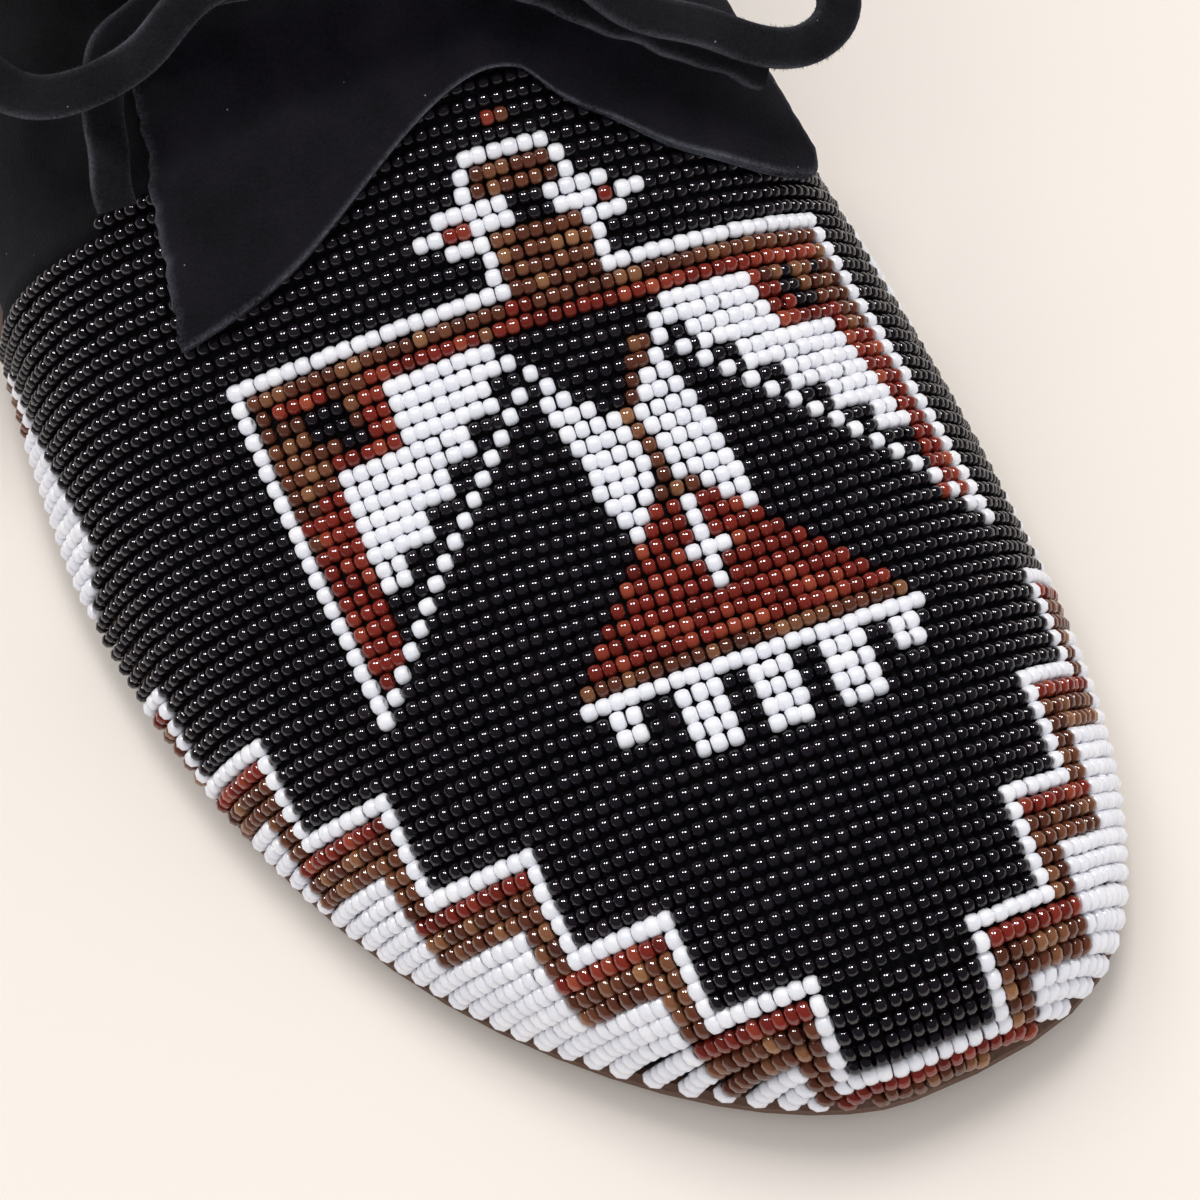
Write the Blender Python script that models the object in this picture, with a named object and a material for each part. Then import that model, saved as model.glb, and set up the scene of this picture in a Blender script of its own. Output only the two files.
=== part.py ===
"""Lace-up moccasin, one right shoe: beaded vamp, ankle cuff, forked tongue and thong.

Metres, +Z up. The toe points to -Y and the inner side of the foot to +X, and the
sole stands on z = 0. The origin is on the ground under the middle of the shoe's box.

Every piece is drawn in the vamp's own frame: x to the inner side, s from the tip of
the leather towards the heel along the vamp line, z up. The empty named shoe turns
that frame, so that the long axis of the foot lies on Y.
"""
import math

import bmesh
import bpy
import numpy as np

# Sole and last
LENGTH = 0.260            # outsole, toe to heel
BALL_WIDTH = 0.098        # leather across the ball of the foot
HEEL_WIDTH = 0.066        # leather across the heel
TOE_HEIGHT = 0.026        # leather over the toes, from the sole's top
INSTEP_HEIGHT = 0.073     # ridge of the instep, from the sole's top
ANKLE_HEIGHT = 0.120      # closed top of the last, from the sole's top
TOE_TURN = math.radians(7.5)    # the vamp line points inward of the long axis
SOLE_THICKNESS = 0.0032
SOLE_LIP = 0.0015         # sole's edge outside the leather
SOLE_ROUND = 0.0008       # rounding of the sole's edge
TOE_SPRING = 0.004
SPRING_LENGTH = 0.045
HEEL_LIFT = 0.001
HEEL_LIFT_LENGTH = 0.014
INSOLE_THICKNESS = 0.0016

# Upper
LEATHER = 0.0015          # wall of the vamp and quarters
BEAD_LIFT = 0.0017        # beadwork stands out of the leather by this
VAMP_EDGE = 0.4562 * LENGTH    # the beadwork ends here on the ridge, from the leather's tip
VAMP_LEAN = 0.0087        # and this much further back beside the sole
COLLAR_FRONT = 0.0585     # top edge of the upper at the throat
COLLAR_HEEL = 0.064
GAP = 0.0003              # between pieces that meet

# Cuff, an ankle wrap whose outer end laps over its inner end in front
CUFF_THICKNESS = 0.0014
CUFF_TOP = 0.112
CUFF_LAP_SIDE = 0.009     # the cuff reaches this far below the upper's top edge
CUFF_LAP_FRONT = 0.0025
CUFF_TOP_WIDTH = 0.076
CUFF_TOP_FRONT = 0.043    # from the ankle's middle forward
CUFF_TOP_BACK = 0.047
ANKLE_BACK = 0.7846 * LENGTH    # ankle's middle, from the tip of the leather
ANKLE_SIDE = 0.001        # and to the inner side of the long axis
WRAP_START = 12.0         # degrees from straight ahead, inner end
WRAP_END = -379.0         # outer end, past one full turn

# Tongue, turned down over the vamp
TONGUE_THICKNESS = 0.0013
TONGUE_ROOT = 0.5288 * LENGTH    # under the cuff's edge, from the tip of the leather
TONGUE_REACH = 0.0345     # from the root to the outer fork
TONGUE_STAND = 0.0015     # inner fork stands off the steep side
TONGUE_STEP = 0.0040      # the tongue climbs onto the beads over this length
TONGUE_CLEAR = 0.0045     # and begins to climb this far behind them

# Thong and bow
THONG_HEIGHT = 0.067
THONG_WIDTH = 0.005
THONG_THICKNESS = 0.0015
THONG_DIAMETER = 0.0036   # free ends and loops, as a round cord
KNOT_WIDTH = 0.014
KNOT_DEPTH = 0.009
KNOT_HEIGHT = 0.010

FORM_LENGTH = LENGTH - 2 * SOLE_LIP
SOLE_TOP = SOLE_THICKNESS + GAP

# Sections of the leather's outside, square to the vamp line.
# station: 0 at the toe to 1 at the heel, on a half turn so that both ends close round
# middle: middle of the section, to the inner side of the long axis
# half: half width; both are shares of the width in the next column
# height: share of the height in the next column
# power: fullness of the arch; ridge: 0 on the vamp line, 1 over the middle
SECTIONS = (
    (0.00, 0.000, 0.000, BALL_WIDTH, 0.000, TOE_HEIGHT, 2.24, 0.00),
    (0.05, 0.043, 0.118, BALL_WIDTH, 0.360, TOE_HEIGHT, 2.24, 0.00),
    (0.10, 0.049, 0.215, BALL_WIDTH, 0.670, TOE_HEIGHT, 2.24, 0.00),
    (0.16, 0.028, 0.308, BALL_WIDTH, 0.850, TOE_HEIGHT, 2.23, 0.00),
    (0.23, -0.001, 0.404, BALL_WIDTH, 0.930, TOE_HEIGHT, 2.22, 0.00),
    (0.31, -0.028, 0.474, BALL_WIDTH, 1.000, TOE_HEIGHT, 2.20, 0.00),
    (0.40, -0.034, 0.500, BALL_WIDTH, 0.429, INSTEP_HEIGHT, 2.18, 0.00),
    (0.49, -0.016, 0.476, BALL_WIDTH, 0.647, INSTEP_HEIGHT, 2.16, 0.00),
    (0.58, 0.006, 0.425, BALL_WIDTH, 1.000, INSTEP_HEIGHT, 2.40, 0.35),
    (0.67, 0.015, 0.538, HEEL_WIDTH, 0.850, ANKLE_HEIGHT, 3.00, 0.80),
    (0.76, 0.009, 0.500, HEEL_WIDTH, 0.970, ANKLE_HEIGHT, 3.80, 1.00),
    (0.84, 0.045, 0.427, HEEL_WIDTH, 1.000, ANKLE_HEIGHT, 4.00, 1.00),
    (0.90, 0.065, 0.294, HEEL_WIDTH, 1.000, ANKLE_HEIGHT, 4.00, 1.00),
    (0.95, 0.076, 0.153, HEEL_WIDTH, 1.000, ANKLE_HEIGHT, 4.00, 1.00),
    (1.00, 0.079, 0.000, HEEL_WIDTH, 1.000, ANKLE_HEIGHT, 4.00, 1.00),
)

# Front edge of the tongue, from its outer side to its inner side.
# across: share of its width; reach: share of its full reach
FORK = (
    (0.00, 0.96),
    (0.09, 0.95),
    (0.17, 0.90),
    (0.26, 0.775),
    (0.34, 0.65),
    (0.39, 0.595),
    (0.43, 0.60),
    (0.48, 0.715),
    (0.56, 0.835),
    (0.65, 0.955),
    (0.75, 1.03),
    (0.86, 1.09),
    (0.94, 1.11),
    (1.00, 1.07),
)
# Its two sides, as shares of the way over the foot from the outer to the inner side.
TONGUE_AT_ROOT = (0.311, 0.790)
TONGUE_AT_FORK = (0.272, 0.790)

# Routes of the free thongs, from the knot: x, s and z.
# Inner and outer are the sides of the foot.
LOOP_OUTER = (
    (-0.0109, 0.1252, 0.0668), (-0.0188, 0.1268, 0.0677), (-0.0274, 0.1292, 0.0652),
    (-0.0329, 0.1290, 0.0622), (-0.0376, 0.1278, 0.0590), (-0.0435, 0.1280, 0.0556),
    (-0.0497, 0.1304, 0.0516), (-0.0546, 0.1350, 0.0490), (-0.0581, 0.1407, 0.0502),
    (-0.0588, 0.1450, 0.0550), (-0.0558, 0.1464, 0.0628), (-0.0484, 0.1446, 0.0690),
    (-0.0369, 0.1396, 0.0728), (-0.0236, 0.1337, 0.0738), (-0.0109, 0.1292, 0.0702),
)
LOOP_INNER = (
    (0.0037, 0.1246, 0.0665), (0.0080, 0.1180, 0.0630), (0.0135, 0.1126, 0.0575),
    (0.0205, 0.1099, 0.0520), (0.0267, 0.1077, 0.0470), (0.0326, 0.1076, 0.0435),
    (0.0371, 0.1103, 0.0430), (0.0379, 0.1137, 0.0480), (0.0341, 0.1165, 0.0550),
    (0.0248, 0.1190, 0.0630), (0.0140, 0.1225, 0.0690), (0.0037, 0.1282, 0.0705),
)
END_OUTER = (
    (-0.0104, 0.1286, 0.0644), (-0.0202, 0.1296, 0.0623), (-0.0292, 0.1316, 0.0604),
    (-0.0363, 0.1334, 0.0572), (-0.0416, 0.1334, 0.0532), (-0.0447, 0.1295, 0.0490),
    (-0.0465, 0.1243, 0.0457), (-0.0473, 0.1193, 0.0424),
)
END_INNER = (
    (-0.0008, 0.1248, 0.0627), (0.0035, 0.1200, 0.0585), (0.0085, 0.1168, 0.0550),
    (0.0146, 0.1136, 0.0506), (0.0211, 0.1108, 0.0454), (0.0272, 0.1085, 0.0398),
)


def natural_spline(xs, ys):
    """A natural cubic spline through the points, as a function of arrays."""
    xs = np.array(xs, float)
    ys = np.array(ys, float)
    count = len(xs)
    step = np.diff(xs)
    rows = np.zeros((count, count))
    right = np.zeros(count)
    rows[0, 0] = 1.0
    rows[-1, -1] = 1.0
    for i in range(1, count - 1):
        rows[i, i - 1:i + 2] = step[i - 1], 2 * (step[i - 1] + step[i]), step[i]
        right[i] = 6 * ((ys[i + 1] - ys[i]) / step[i] - (ys[i] - ys[i - 1]) / step[i - 1])
    bend = np.linalg.solve(rows, right)

    def value(x):
        x = np.clip(x, xs[0], xs[-1])
        i = np.clip(np.searchsorted(xs, x, side="right") - 1, 0, count - 2)
        up = x - xs[i]
        down = xs[i + 1] - x
        h = step[i]
        curve = (bend[i] * down ** 3 + bend[i + 1] * up ** 3) / (6 * h)
        return curve + (ys[i] / h - bend[i] * h / 6) * down + (ys[i + 1] / h - bend[i + 1] * h / 6) * up

    return value


STATIONS = [row[0] for row in SECTIONS]
MIDDLE = natural_spline(STATIONS, [row[1] * row[3] for row in SECTIONS])
HALF = natural_spline(STATIONS, [row[2] * row[3] for row in SECTIONS])
HEIGHT = natural_spline(STATIONS, [row[4] * row[5] for row in SECTIONS])
POWER = natural_spline(STATIONS, [row[6] for row in SECTIONS])
RIDGE = natural_spline(STATIONS, [row[7] for row in SECTIONS])
FORK_EDGE = natural_spline([row[0] for row in FORK], [row[1] for row in FORK])


def smooth(x):
    """0 below 0, 1 above 1, with a soft step between."""
    x = np.clip(x, 0.0, 1.0)
    return x * x * (3 - 2 * x)


def station_at(s):
    return np.arccos(np.clip(1 - 2 * s / FORM_LENGTH, -1, 1)) / math.pi


def along(t):
    return FORM_LENGTH * (1 - np.cos(math.pi * t)) / 2


def ground(s):
    """Underside of the sole: flat, with toe spring and a slight lift at the heel."""
    toe = TOE_SPRING * np.maximum(0.0, 1 - s / SPRING_LENGTH) ** 2
    heel = np.maximum(0.0, (s - FORM_LENGTH) / HEEL_LIFT_LENGTH + 1) ** 2
    return toe + HEEL_LIFT * heel


def collar(s):
    """Height of the upper's top edge."""
    share = (s - VAMP_EDGE) / (FORM_LENGTH - VAMP_EDGE)
    return COLLAR_FRONT + (COLLAR_HEEL - COLLAR_FRONT) * share


def form(t, a):
    """Outside of the leather. a runs over the foot, from 0 outside to 1 inside."""
    t, a = np.broadcast_arrays(np.asarray(t, float), np.asarray(a, float))
    s = along(t)
    middle = MIDDLE(t) - s * math.tan(TOE_TURN)
    half = HALF(t)
    ridge = RIDGE(t) * middle
    lift = np.sin(math.pi * a)
    power = POWER(t)
    out = np.maximum(0.0, 1 - np.maximum(lift, 0.0) ** power) ** (1 / power)
    side = np.where(a < 0.5, middle - half, middle + half)
    x = ridge + (side - ridge) * out
    z = ground(s) + SOLE_TOP + HEIGHT(t) * lift
    return np.stack([x, s, z], -1)


def outward(t, a):
    """Outward unit normals of the form."""
    t, a = np.broadcast_arrays(np.asarray(t, float), np.asarray(a, float))
    step = 0.0004
    tc = np.clip(t, 0.012, 0.988)
    ac = np.clip(a, 2 * step, 1 - 2 * step)
    over = form(tc, ac + step) - form(tc, ac - step)
    back = form(tc + step, ac) - form(tc - step, ac)
    normal = np.cross(over, back)
    rim = (a <= 0.0) | (a >= 1.0)
    normal[..., 2] = np.where(rim, 0.0, normal[..., 2])
    normal /= np.linalg.norm(normal, axis=-1, keepdims=True)
    normal[t <= 0.0] = (0, -1, 0)
    normal[t >= 1.0] = (0, 1, 0)
    return normal


def skin(t, a, out):
    """The form moved outward by out."""
    return form(t, a) + outward(t, a) * np.asarray(out, float)[..., None]


def add_mesh(name, points, faces, color, roughness, smooth_angle=40.0):
    """One closed body with its faces turned outward, under the empty of the shoe."""
    mesh = bpy.data.meshes.new(name)
    bm = bmesh.new()
    verts = [bm.verts.new(tuple(float(v) for v in p)) for p in points]
    for face in faces:
        bm.faces.new([verts[i] for i in face])
    bmesh.ops.recalc_face_normals(bm, faces=bm.faces)
    bm.to_mesh(mesh)
    bm.free()
    mesh.shade_smooth()
    mesh.set_sharp_from_angle(angle=math.radians(smooth_angle))
    item = bpy.data.objects.new(name, mesh)
    finish_object(item, name, color, roughness)
    return item


def finish_object(item, name, color, roughness):
    bpy.context.scene.collection.objects.link(item)
    material = bpy.data.materials.new(name)
    material.use_nodes = True
    shader = material.node_tree.nodes["Principled BSDF"]
    shader.inputs["Base Color"].default_value = (*color, 1.0)
    shader.inputs["Roughness"].default_value = roughness
    shader.inputs["Metallic"].default_value = 0.0
    item.data.materials.append(material)
    item.parent = SHOE


def make_slab(name, grow, thickness, rise, rounding, color, roughness, steps=44):
    """A flat layer with the foot's outline moved outward by grow, edge rounded."""
    t = np.linspace(0, 1, steps + 1)
    bottom_z = ground(along(t)) + rise
    layers = ((grow - rounding, 0.0), (grow, rounding),
              (grow, thickness - rounding), (grow - rounding, thickness))
    points = []
    size = 2 * steps
    for out, up in layers:
        left = skin(t, np.zeros_like(t), np.full_like(t, out))
        right = skin(t, np.ones_like(t), np.full_like(t, out))
        for side in (left, right):
            side[:, 2] = ground(side[:, 1]) + rise + up
        points += list(left) + list(right[-2:0:-1])
    faces = []
    for k in range(len(layers) - 1):
        for i in range(size):
            j = (i + 1) % size
            faces.append((k * size + i, k * size + j, (k + 1) * size + j, (k + 1) * size + i))
    for k in (0, len(layers) - 1):
        for i in range(steps):
            strip = [i, i + 1, size - i - 1, (size - i) % size]
            corners = []
            for corner in strip:
                if corner not in corners:
                    corners.append(corner)
            faces.append(tuple(k * size + corner for corner in corners))
    return add_mesh(name, points, faces, color, roughness)


def vamp_edge(lift):
    """Where the beadwork ends, at a share of the height of the foot."""
    return VAMP_EDGE + VAMP_LEAN * (1 - lift)


def throat_station():
    """Where the ridge of the foot meets the top edge of the upper."""
    t = np.linspace(0.4, 0.7, 1201)
    ridge = form(t, np.full_like(t, 0.5))
    return float(np.interp(0.0, ridge[:, 2] - collar(ridge[:, 1]), t))


def make_upper(columns=10, front=22, back=22):
    """Vamp and quarters in one hollow wall, open at the collar and underneath."""
    edge = float(station_at(VAMP_EDGE))
    edge_back = float(station_at(VAMP_EDGE + 0.0008))
    throat = throat_station()
    lean_front = VAMP_EDGE / 2
    t = list(np.linspace(0, edge, front + 1))
    t += [edge_back] + list(np.linspace(edge_back, throat, 5)[1:-1])
    opening = len(t)
    turn = np.linspace(0, math.pi / 2, back + 1)
    t += list(throat + (1 - throat) * (0.35 * (1 - np.cos(turn)) + 0.65 * turn / turn[-1]))
    t = np.array(t)
    last = len(t) - 1
    s = along(t)
    rise = (collar(s) - ground(s) - SOLE_TOP) / np.maximum(HEIGHT(t), 1e-6)
    top = np.where(np.arange(last + 1) < opening, 0.5, np.arcsin(np.clip(rise, 0, 1)) / math.pi)
    top[opening] = 0.5

    points = []
    index = {}

    def corner(layer, side, i, j):
        """Vertex number, shared at the toe's tip, along the ridge and up the heel."""
        if i == 0:
            side, j = 0, 0
        if side == 1 and (i == last or (j == columns and i <= opening)):
            side = 0
        key = (layer, side, i, j)
        if key not in index:
            a = top[i] * j / columns
            beads = BEAD_LIFT if t[i] <= edge + 1e-9 else 0.0
            out = beads if layer == 0 else -LEATHER
            share = smooth((s[i] - lean_front) / (VAMP_EDGE - lean_front))
            share *= 1 - smooth((s[i] - VAMP_EDGE - 0.001) / (along(throat) - VAMP_EDGE))
            lean = (vamp_edge(math.sin(math.pi * a)) - VAMP_EDGE) * float(share)
            station = t[i] if i < 2 or i >= opening else station_at(s[i] + lean)
            point = skin(station, a if side == 0 else 1 - a, out)
            if j == 0:
                point[2] = ground(point[1]) + SOLE_TOP
            index[key] = len(points)
            points.append(point)
        return index[key]

    faces = []

    def add(*corners):
        ring = []
        for number in corners:
            if number not in ring:
                ring.append(number)
        if len(ring) > 2:
            faces.append(tuple(ring))

    for side in (0, 1):
        for i in range(last):
            for layer in (0, 1):
                for j in range(columns):
                    add(corner(layer, side, i, j), corner(layer, side, i + 1, j),
                        corner(layer, side, i + 1, j + 1), corner(layer, side, i, j + 1))
            rims = [0] if i < opening else [0, columns]
            for j in rims:
                add(corner(0, side, i, j), corner(0, side, i + 1, j),
                    corner(1, side, i + 1, j), corner(1, side, i, j))
    return add_mesh("upper", points, faces, (0.018, 0.017, 0.020), 0.85)


class AnkleRing:
    """The leather's outside at one height, read by the angle round the ankle."""

    def __init__(self, shift):
        """shift is the height over the upper's top edge, below zero under it."""
        t = np.linspace(0.42, 1.0, 900)
        s = along(t)
        lift = (collar(s) + shift - ground(s) - SOLE_TOP) / HEIGHT(t)
        tip = np.argmax(lift < 1.0)
        self.t = t[tip:]
        self.a = np.arcsin(np.clip(lift[tip:], 0, 1)) / math.pi
        self.a[0] = 0.5
        self.angles = []
        for side in (0, 1):
            plan = form(self.t, self.a if side == 0 else 1 - self.a)
            angle = np.degrees(np.arctan2(plan[:, 0] - ankle_x(), ANKLE_BACK - plan[:, 1]))
            self.angles.append(np.degrees(np.unwrap(np.radians(angle))))

    def point(self, angle, out):
        heel = self.angles[0][-1]
        angle = (angle - heel) % 360 + heel
        tip = self.angles[0][0]
        if angle < tip:
            t = np.interp(angle, self.angles[0][::-1], self.t[::-1])
            a = np.interp(t, self.t, self.a)
        else:
            t = np.interp(angle, self.angles[1], self.t)
            a = 1 - np.interp(t, self.t, self.a)
        return skin(t, a, out)


def ankle_x():
    return ANKLE_SIDE - ANKLE_BACK * math.tan(TOE_TURN)


def front_share(angle):
    """1 over the tongue, falling to 0 beside it."""
    angle = (angle + 180) % 360 - 180
    return float(smooth((angle + 34) / 14) * smooth((58 - angle) / 16))


def wrap_rise(angle):
    """The outer end of the cuff climbs over the inner end by one thickness."""
    share = smooth((-angle - 215) / 100)
    return float(share) * (CUFF_THICKNESS + GAP)


class Cuff:
    """The cuff's inner side, from its lower edge up, for any angle and height."""

    def __init__(self):
        self.rings = {}

    def ring(self, shift):
        key = round(shift, 5)
        if key not in self.rings:
            self.rings[key] = AnkleRing(key)
        return self.rings[key]

    def lap(self, angle):
        turned = (angle + 180) % 360 - 180
        side = smooth((2 - turned) / 34) + smooth((turned - 34) / 40)
        return CUFF_LAP_FRONT + (CUFF_LAP_SIDE - CUFF_LAP_FRONT) * float(side)

    def profile(self, angle, out):
        """Points up the cuff: lower edge, top edge of the upper, top of the cuff."""
        room = 2 * GAP + (TONGUE_THICKNESS + 2 * GAP) * front_share(angle)
        offset = out + room + wrap_rise(angle)
        low = self.ring(-self.lap(angle)).point(angle, offset)
        edge = self.ring(0.0).point(angle, offset)
        turn = math.radians(angle)
        reach = CUFF_TOP_FRONT if math.cos(turn) > 0 else CUFF_TOP_BACK
        radius = 1 / math.hypot(math.sin(turn) / (CUFF_TOP_WIDTH / 2), math.cos(turn) / reach)
        radius += out + wrap_rise(angle)
        top = np.array([ankle_x() + radius * math.sin(turn),
                        ANKLE_BACK - radius * math.cos(turn), CUFF_TOP])
        return low, edge, top

    def point(self, angle, share, out=0.0):
        """share is 0 at the lower edge and 1 at the top."""
        low, edge, top = self.profile(angle, out)
        heights = [low[2], edge[2], top[2]]
        z = low[2] + (top[2] - low[2]) * share
        x = natural_spline(heights, [low[0], edge[0], top[0]])(z)
        s = natural_spline(heights, [low[1], edge[1], top[1]])(z)
        return np.array([float(x), float(s), float(z)])

    def at_height(self, angle, z, out=0.0):
        low, edge, top = self.profile(angle, out)
        return self.point(angle, (z - low[2]) / (top[2] - low[2]), out)


def make_cuff(cuff, around=76, up=8):
    points = []
    angles = np.linspace(WRAP_START, WRAP_END, around + 1)
    for out in (0.0, CUFF_THICKNESS):
        for angle in angles:
            for k in range(up + 1):
                points.append(cuff.point(angle, k / up, out))
    faces = sheet_faces(around, up)
    return add_mesh("cuff", points, faces, (0.020, 0.019, 0.022), 0.9)


def sheet_faces(rows, columns):
    """Faces of a sheet with two sides and a rim, both sides listed row by row."""
    width = columns + 1
    back = (rows + 1) * width
    faces = []
    for i in range(rows):
        for j in range(columns):
            quad = (i * width + j, (i + 1) * width + j, (i + 1) * width + j + 1, i * width + j + 1)
            faces.append(quad)
            faces.append(tuple(back + n for n in reversed(quad)))
    ring = [j for j in range(width)]
    ring += [i * width + columns for i in range(1, rows + 1)]
    ring += [rows * width + j for j in range(columns - 1, -1, -1)]
    ring += [i * width for i in range(rows - 1, 0, -1)]
    for n, corner in enumerate(ring):
        after = ring[(n + 1) % len(ring)]
        faces.append((corner, after, back + after, back + corner))
    return faces


def make_tongue(rows=12, columns=30):
    """Suede tongue lying on the vamp, with a fork of two points."""
    points = []
    for side in (0.0, TONGUE_THICKNESS):
        for i in range(rows + 1):
            for j in range(columns + 1):
                across = j / columns
                down = i / rows
                outer, inner = (r + (f - r) * down for r, f in zip(TONGUE_AT_ROOT, TONGUE_AT_FORK))
                a = outer + (inner - outer) * across
                reach = TONGUE_REACH * float(FORK_EDGE(across)) * down
                stand = TONGUE_STAND * max(0.0, (across - 0.75) / 0.25) ** 2 * down
                s = TONGUE_ROOT - reach
                behind = s - vamp_edge(math.sin(math.pi * a))
                beads = BEAD_LIFT * float(smooth((TONGUE_CLEAR - behind) / TONGUE_STEP))
                points.append(skin(station_at(s), a, beads + 1.5 * GAP + stand + side))
    return add_mesh("tongue", points, sheet_faces(rows, columns), (0.020, 0.019, 0.022), 0.9)


def make_thong(cuff, steps=80):
    """Flat thong round the ankle, over the cuff and its lapped end."""
    first = -30.0
    points = []
    for k in range(steps):
        angle = first - 360.0 * k / steps
        past = float(smooth((-angle - 381.0) / 9.0)) * wrap_rise(WRAP_END)
        base = CUFF_THICKNESS + 2 * GAP - past
        for up, out in ((-0.5, 0.0), (0.5, 0.0), (0.5, 1.0), (-0.5, 1.0)):
            z = THONG_HEIGHT + up * THONG_WIDTH
            points.append(cuff.at_height(angle, z, base + out * THONG_THICKNESS))
    faces = []
    for k in range(steps):
        n = (k + 1) % steps
        for c in range(4):
            d = (c + 1) % 4
            faces.append((4 * k + c, 4 * k + d, 4 * n + d, 4 * n + c))
    return add_mesh("thong", points, faces, (0.022, 0.021, 0.024), 0.85)


def make_knot(cuff, across=16, up=8):
    """The bow's knot, on the thong over the vamp line."""
    angle = 18.0 - 360.0
    out = CUFF_THICKNESS + THONG_THICKNESS + 3 * GAP + KNOT_DEPTH / 2
    middle = cuff.at_height(angle, THONG_HEIGHT, out)
    turn = math.radians(angle)
    points = [middle + (0, 0, -KNOT_HEIGHT / 2)]
    for i in range(1, up):
        tilt = -math.pi / 2 + math.pi * i / up
        for j in range(across):
            round_ = 2 * math.pi * j / across
            wide = KNOT_WIDTH / 2 * math.cos(tilt) * math.cos(round_)
            deep = KNOT_DEPTH / 2 * math.cos(tilt) * math.sin(round_)
            points.append(middle + (wide * math.cos(turn) + deep * math.sin(turn),
                                    wide * math.sin(turn) - deep * math.cos(turn),
                                    KNOT_HEIGHT / 2 * math.sin(tilt)))
    points.append(middle + (0, 0, KNOT_HEIGHT / 2))
    faces = []
    for j in range(across):
        n = (j + 1) % across
        faces.append((0, 1 + j, 1 + n))
        for i in range(up - 2):
            low = 1 + i * across
            faces.append((low + j, low + n, low + across + n, low + across + j))
        top = 1 + (up - 2) * across
        faces.append((top + j, top + n, len(points) - 1))
    return add_mesh("lace_knot", points, faces, (0.022, 0.021, 0.024), 0.85)


def make_cord(name, route, spacing):
    """A free thong as a tube along a smooth curve through its route."""
    spots = np.array(route)
    run = np.concatenate([[0.0], np.cumsum(np.linalg.norm(np.diff(spots, axis=0), axis=1))])
    curves = [natural_spline(run, spots[:, k]) for k in range(3)]
    count = max(4, int(run[-1] / spacing))
    curve = bpy.data.curves.new(name, "CURVE")
    curve.dimensions = "3D"
    spline = curve.splines.new("POLY")
    spline.points.add(count)
    for k in range(count + 1):
        place = run[-1] * k / count
        spline.points[k].co = (*(float(c(place)) for c in curves), 1.0)
    curve.bevel_depth = THONG_DIAMETER / 2
    curve.bevel_resolution = 2
    curve.use_fill_caps = True
    item = bpy.data.objects.new(name, curve)
    finish_object(item, name, (0.022, 0.021, 0.024), 0.85)
    return item


for item in list(bpy.data.objects):
    bpy.data.objects.remove(item, do_unlink=True)

SHOE = bpy.data.objects.new("shoe", None)
bpy.context.scene.collection.objects.link(SHOE)

cuff_shape = Cuff()
shoe_pieces = [
    make_slab("outsole", SOLE_LIP, SOLE_THICKNESS, 0.0, SOLE_ROUND, (0.13, 0.065, 0.032), 0.7),
    make_slab("insole", -LEATHER - 2 * GAP, INSOLE_THICKNESS, SOLE_TOP, 0.0004,
              (0.30, 0.19, 0.11), 0.8),
    make_upper(),
    make_tongue(),
    make_cuff(cuff_shape),
    make_thong(cuff_shape),
]
make_knot(cuff_shape)
make_cord("lace_loop_outer", LOOP_OUTER, 2.5 * THONG_DIAMETER)
make_cord("lace_loop_inner", LOOP_INNER, 2.5 * THONG_DIAMETER)
make_cord("lace_end_outer", END_OUTER, 2.5 * THONG_DIAMETER)
make_cord("lace_end_inner", END_INNER, 2.5 * THONG_DIAMETER)

# Turn the shoe so that the foot's long axis lies on Y, and put the middle of its
# box over the origin.
turned_x = []
turned_y = []
for item in shoe_pieces:
    for vertex in item.data.vertices:
        x, y, z = vertex.co
        turned_x.append(x * math.cos(TOE_TURN) + y * math.sin(TOE_TURN))
        turned_y.append(y * math.cos(TOE_TURN) - x * math.sin(TOE_TURN))
SHOE.rotation_euler = (0.0, 0.0, -TOE_TURN)
SHOE.location = (-(min(turned_x) + max(turned_x)) / 2, -(min(turned_y) + max(turned_y)) / 2, 0.0)
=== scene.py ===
"""Looks of the lace-up moccasin: leather sole, beaded vamp, suede quarters, cuff and bow.

Metres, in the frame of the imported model. The toe points to -Y, the inner side of the foot
to +X, and the sole stands on z = 0. Leather pieces are drawn in the vamp's own frame, x to
the inner side, s from the tip of the leather towards the heel and z up, and then placed.
"""
import math

import bmesh
import bpy
import numpy as np
from mathutils import Matrix, Vector
from mathutils.bvhtree import BVHTree


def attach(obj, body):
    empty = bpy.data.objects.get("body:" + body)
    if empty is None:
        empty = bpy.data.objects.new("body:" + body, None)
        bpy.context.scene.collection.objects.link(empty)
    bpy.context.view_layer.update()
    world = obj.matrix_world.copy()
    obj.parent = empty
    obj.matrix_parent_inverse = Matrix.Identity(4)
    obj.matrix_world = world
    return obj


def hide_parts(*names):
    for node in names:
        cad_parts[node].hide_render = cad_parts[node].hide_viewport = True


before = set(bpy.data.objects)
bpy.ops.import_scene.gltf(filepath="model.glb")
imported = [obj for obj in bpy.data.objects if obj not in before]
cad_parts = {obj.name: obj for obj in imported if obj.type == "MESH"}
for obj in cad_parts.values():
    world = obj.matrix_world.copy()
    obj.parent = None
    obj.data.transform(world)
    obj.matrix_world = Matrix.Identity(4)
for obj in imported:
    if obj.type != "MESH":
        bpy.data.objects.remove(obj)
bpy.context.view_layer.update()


# The vamp's frame
# The vamp line points inward of the foot's long axis. The turn and the shift put what is
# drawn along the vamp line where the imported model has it.
TOE_TURN = math.radians(7.5)
TOE_TIP = np.array([0.003281, -0.130259, 0.0])


def placed(points):
    """Points of the vamp's frame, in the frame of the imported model."""
    points = np.asarray(points, float)
    x = points[..., 0] * math.cos(TOE_TURN) + points[..., 1] * math.sin(TOE_TURN)
    y = points[..., 1] * math.cos(TOE_TURN) - points[..., 0] * math.sin(TOE_TURN)
    return np.stack([x, y, points[..., 2]], -1) + TOE_TIP


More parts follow.
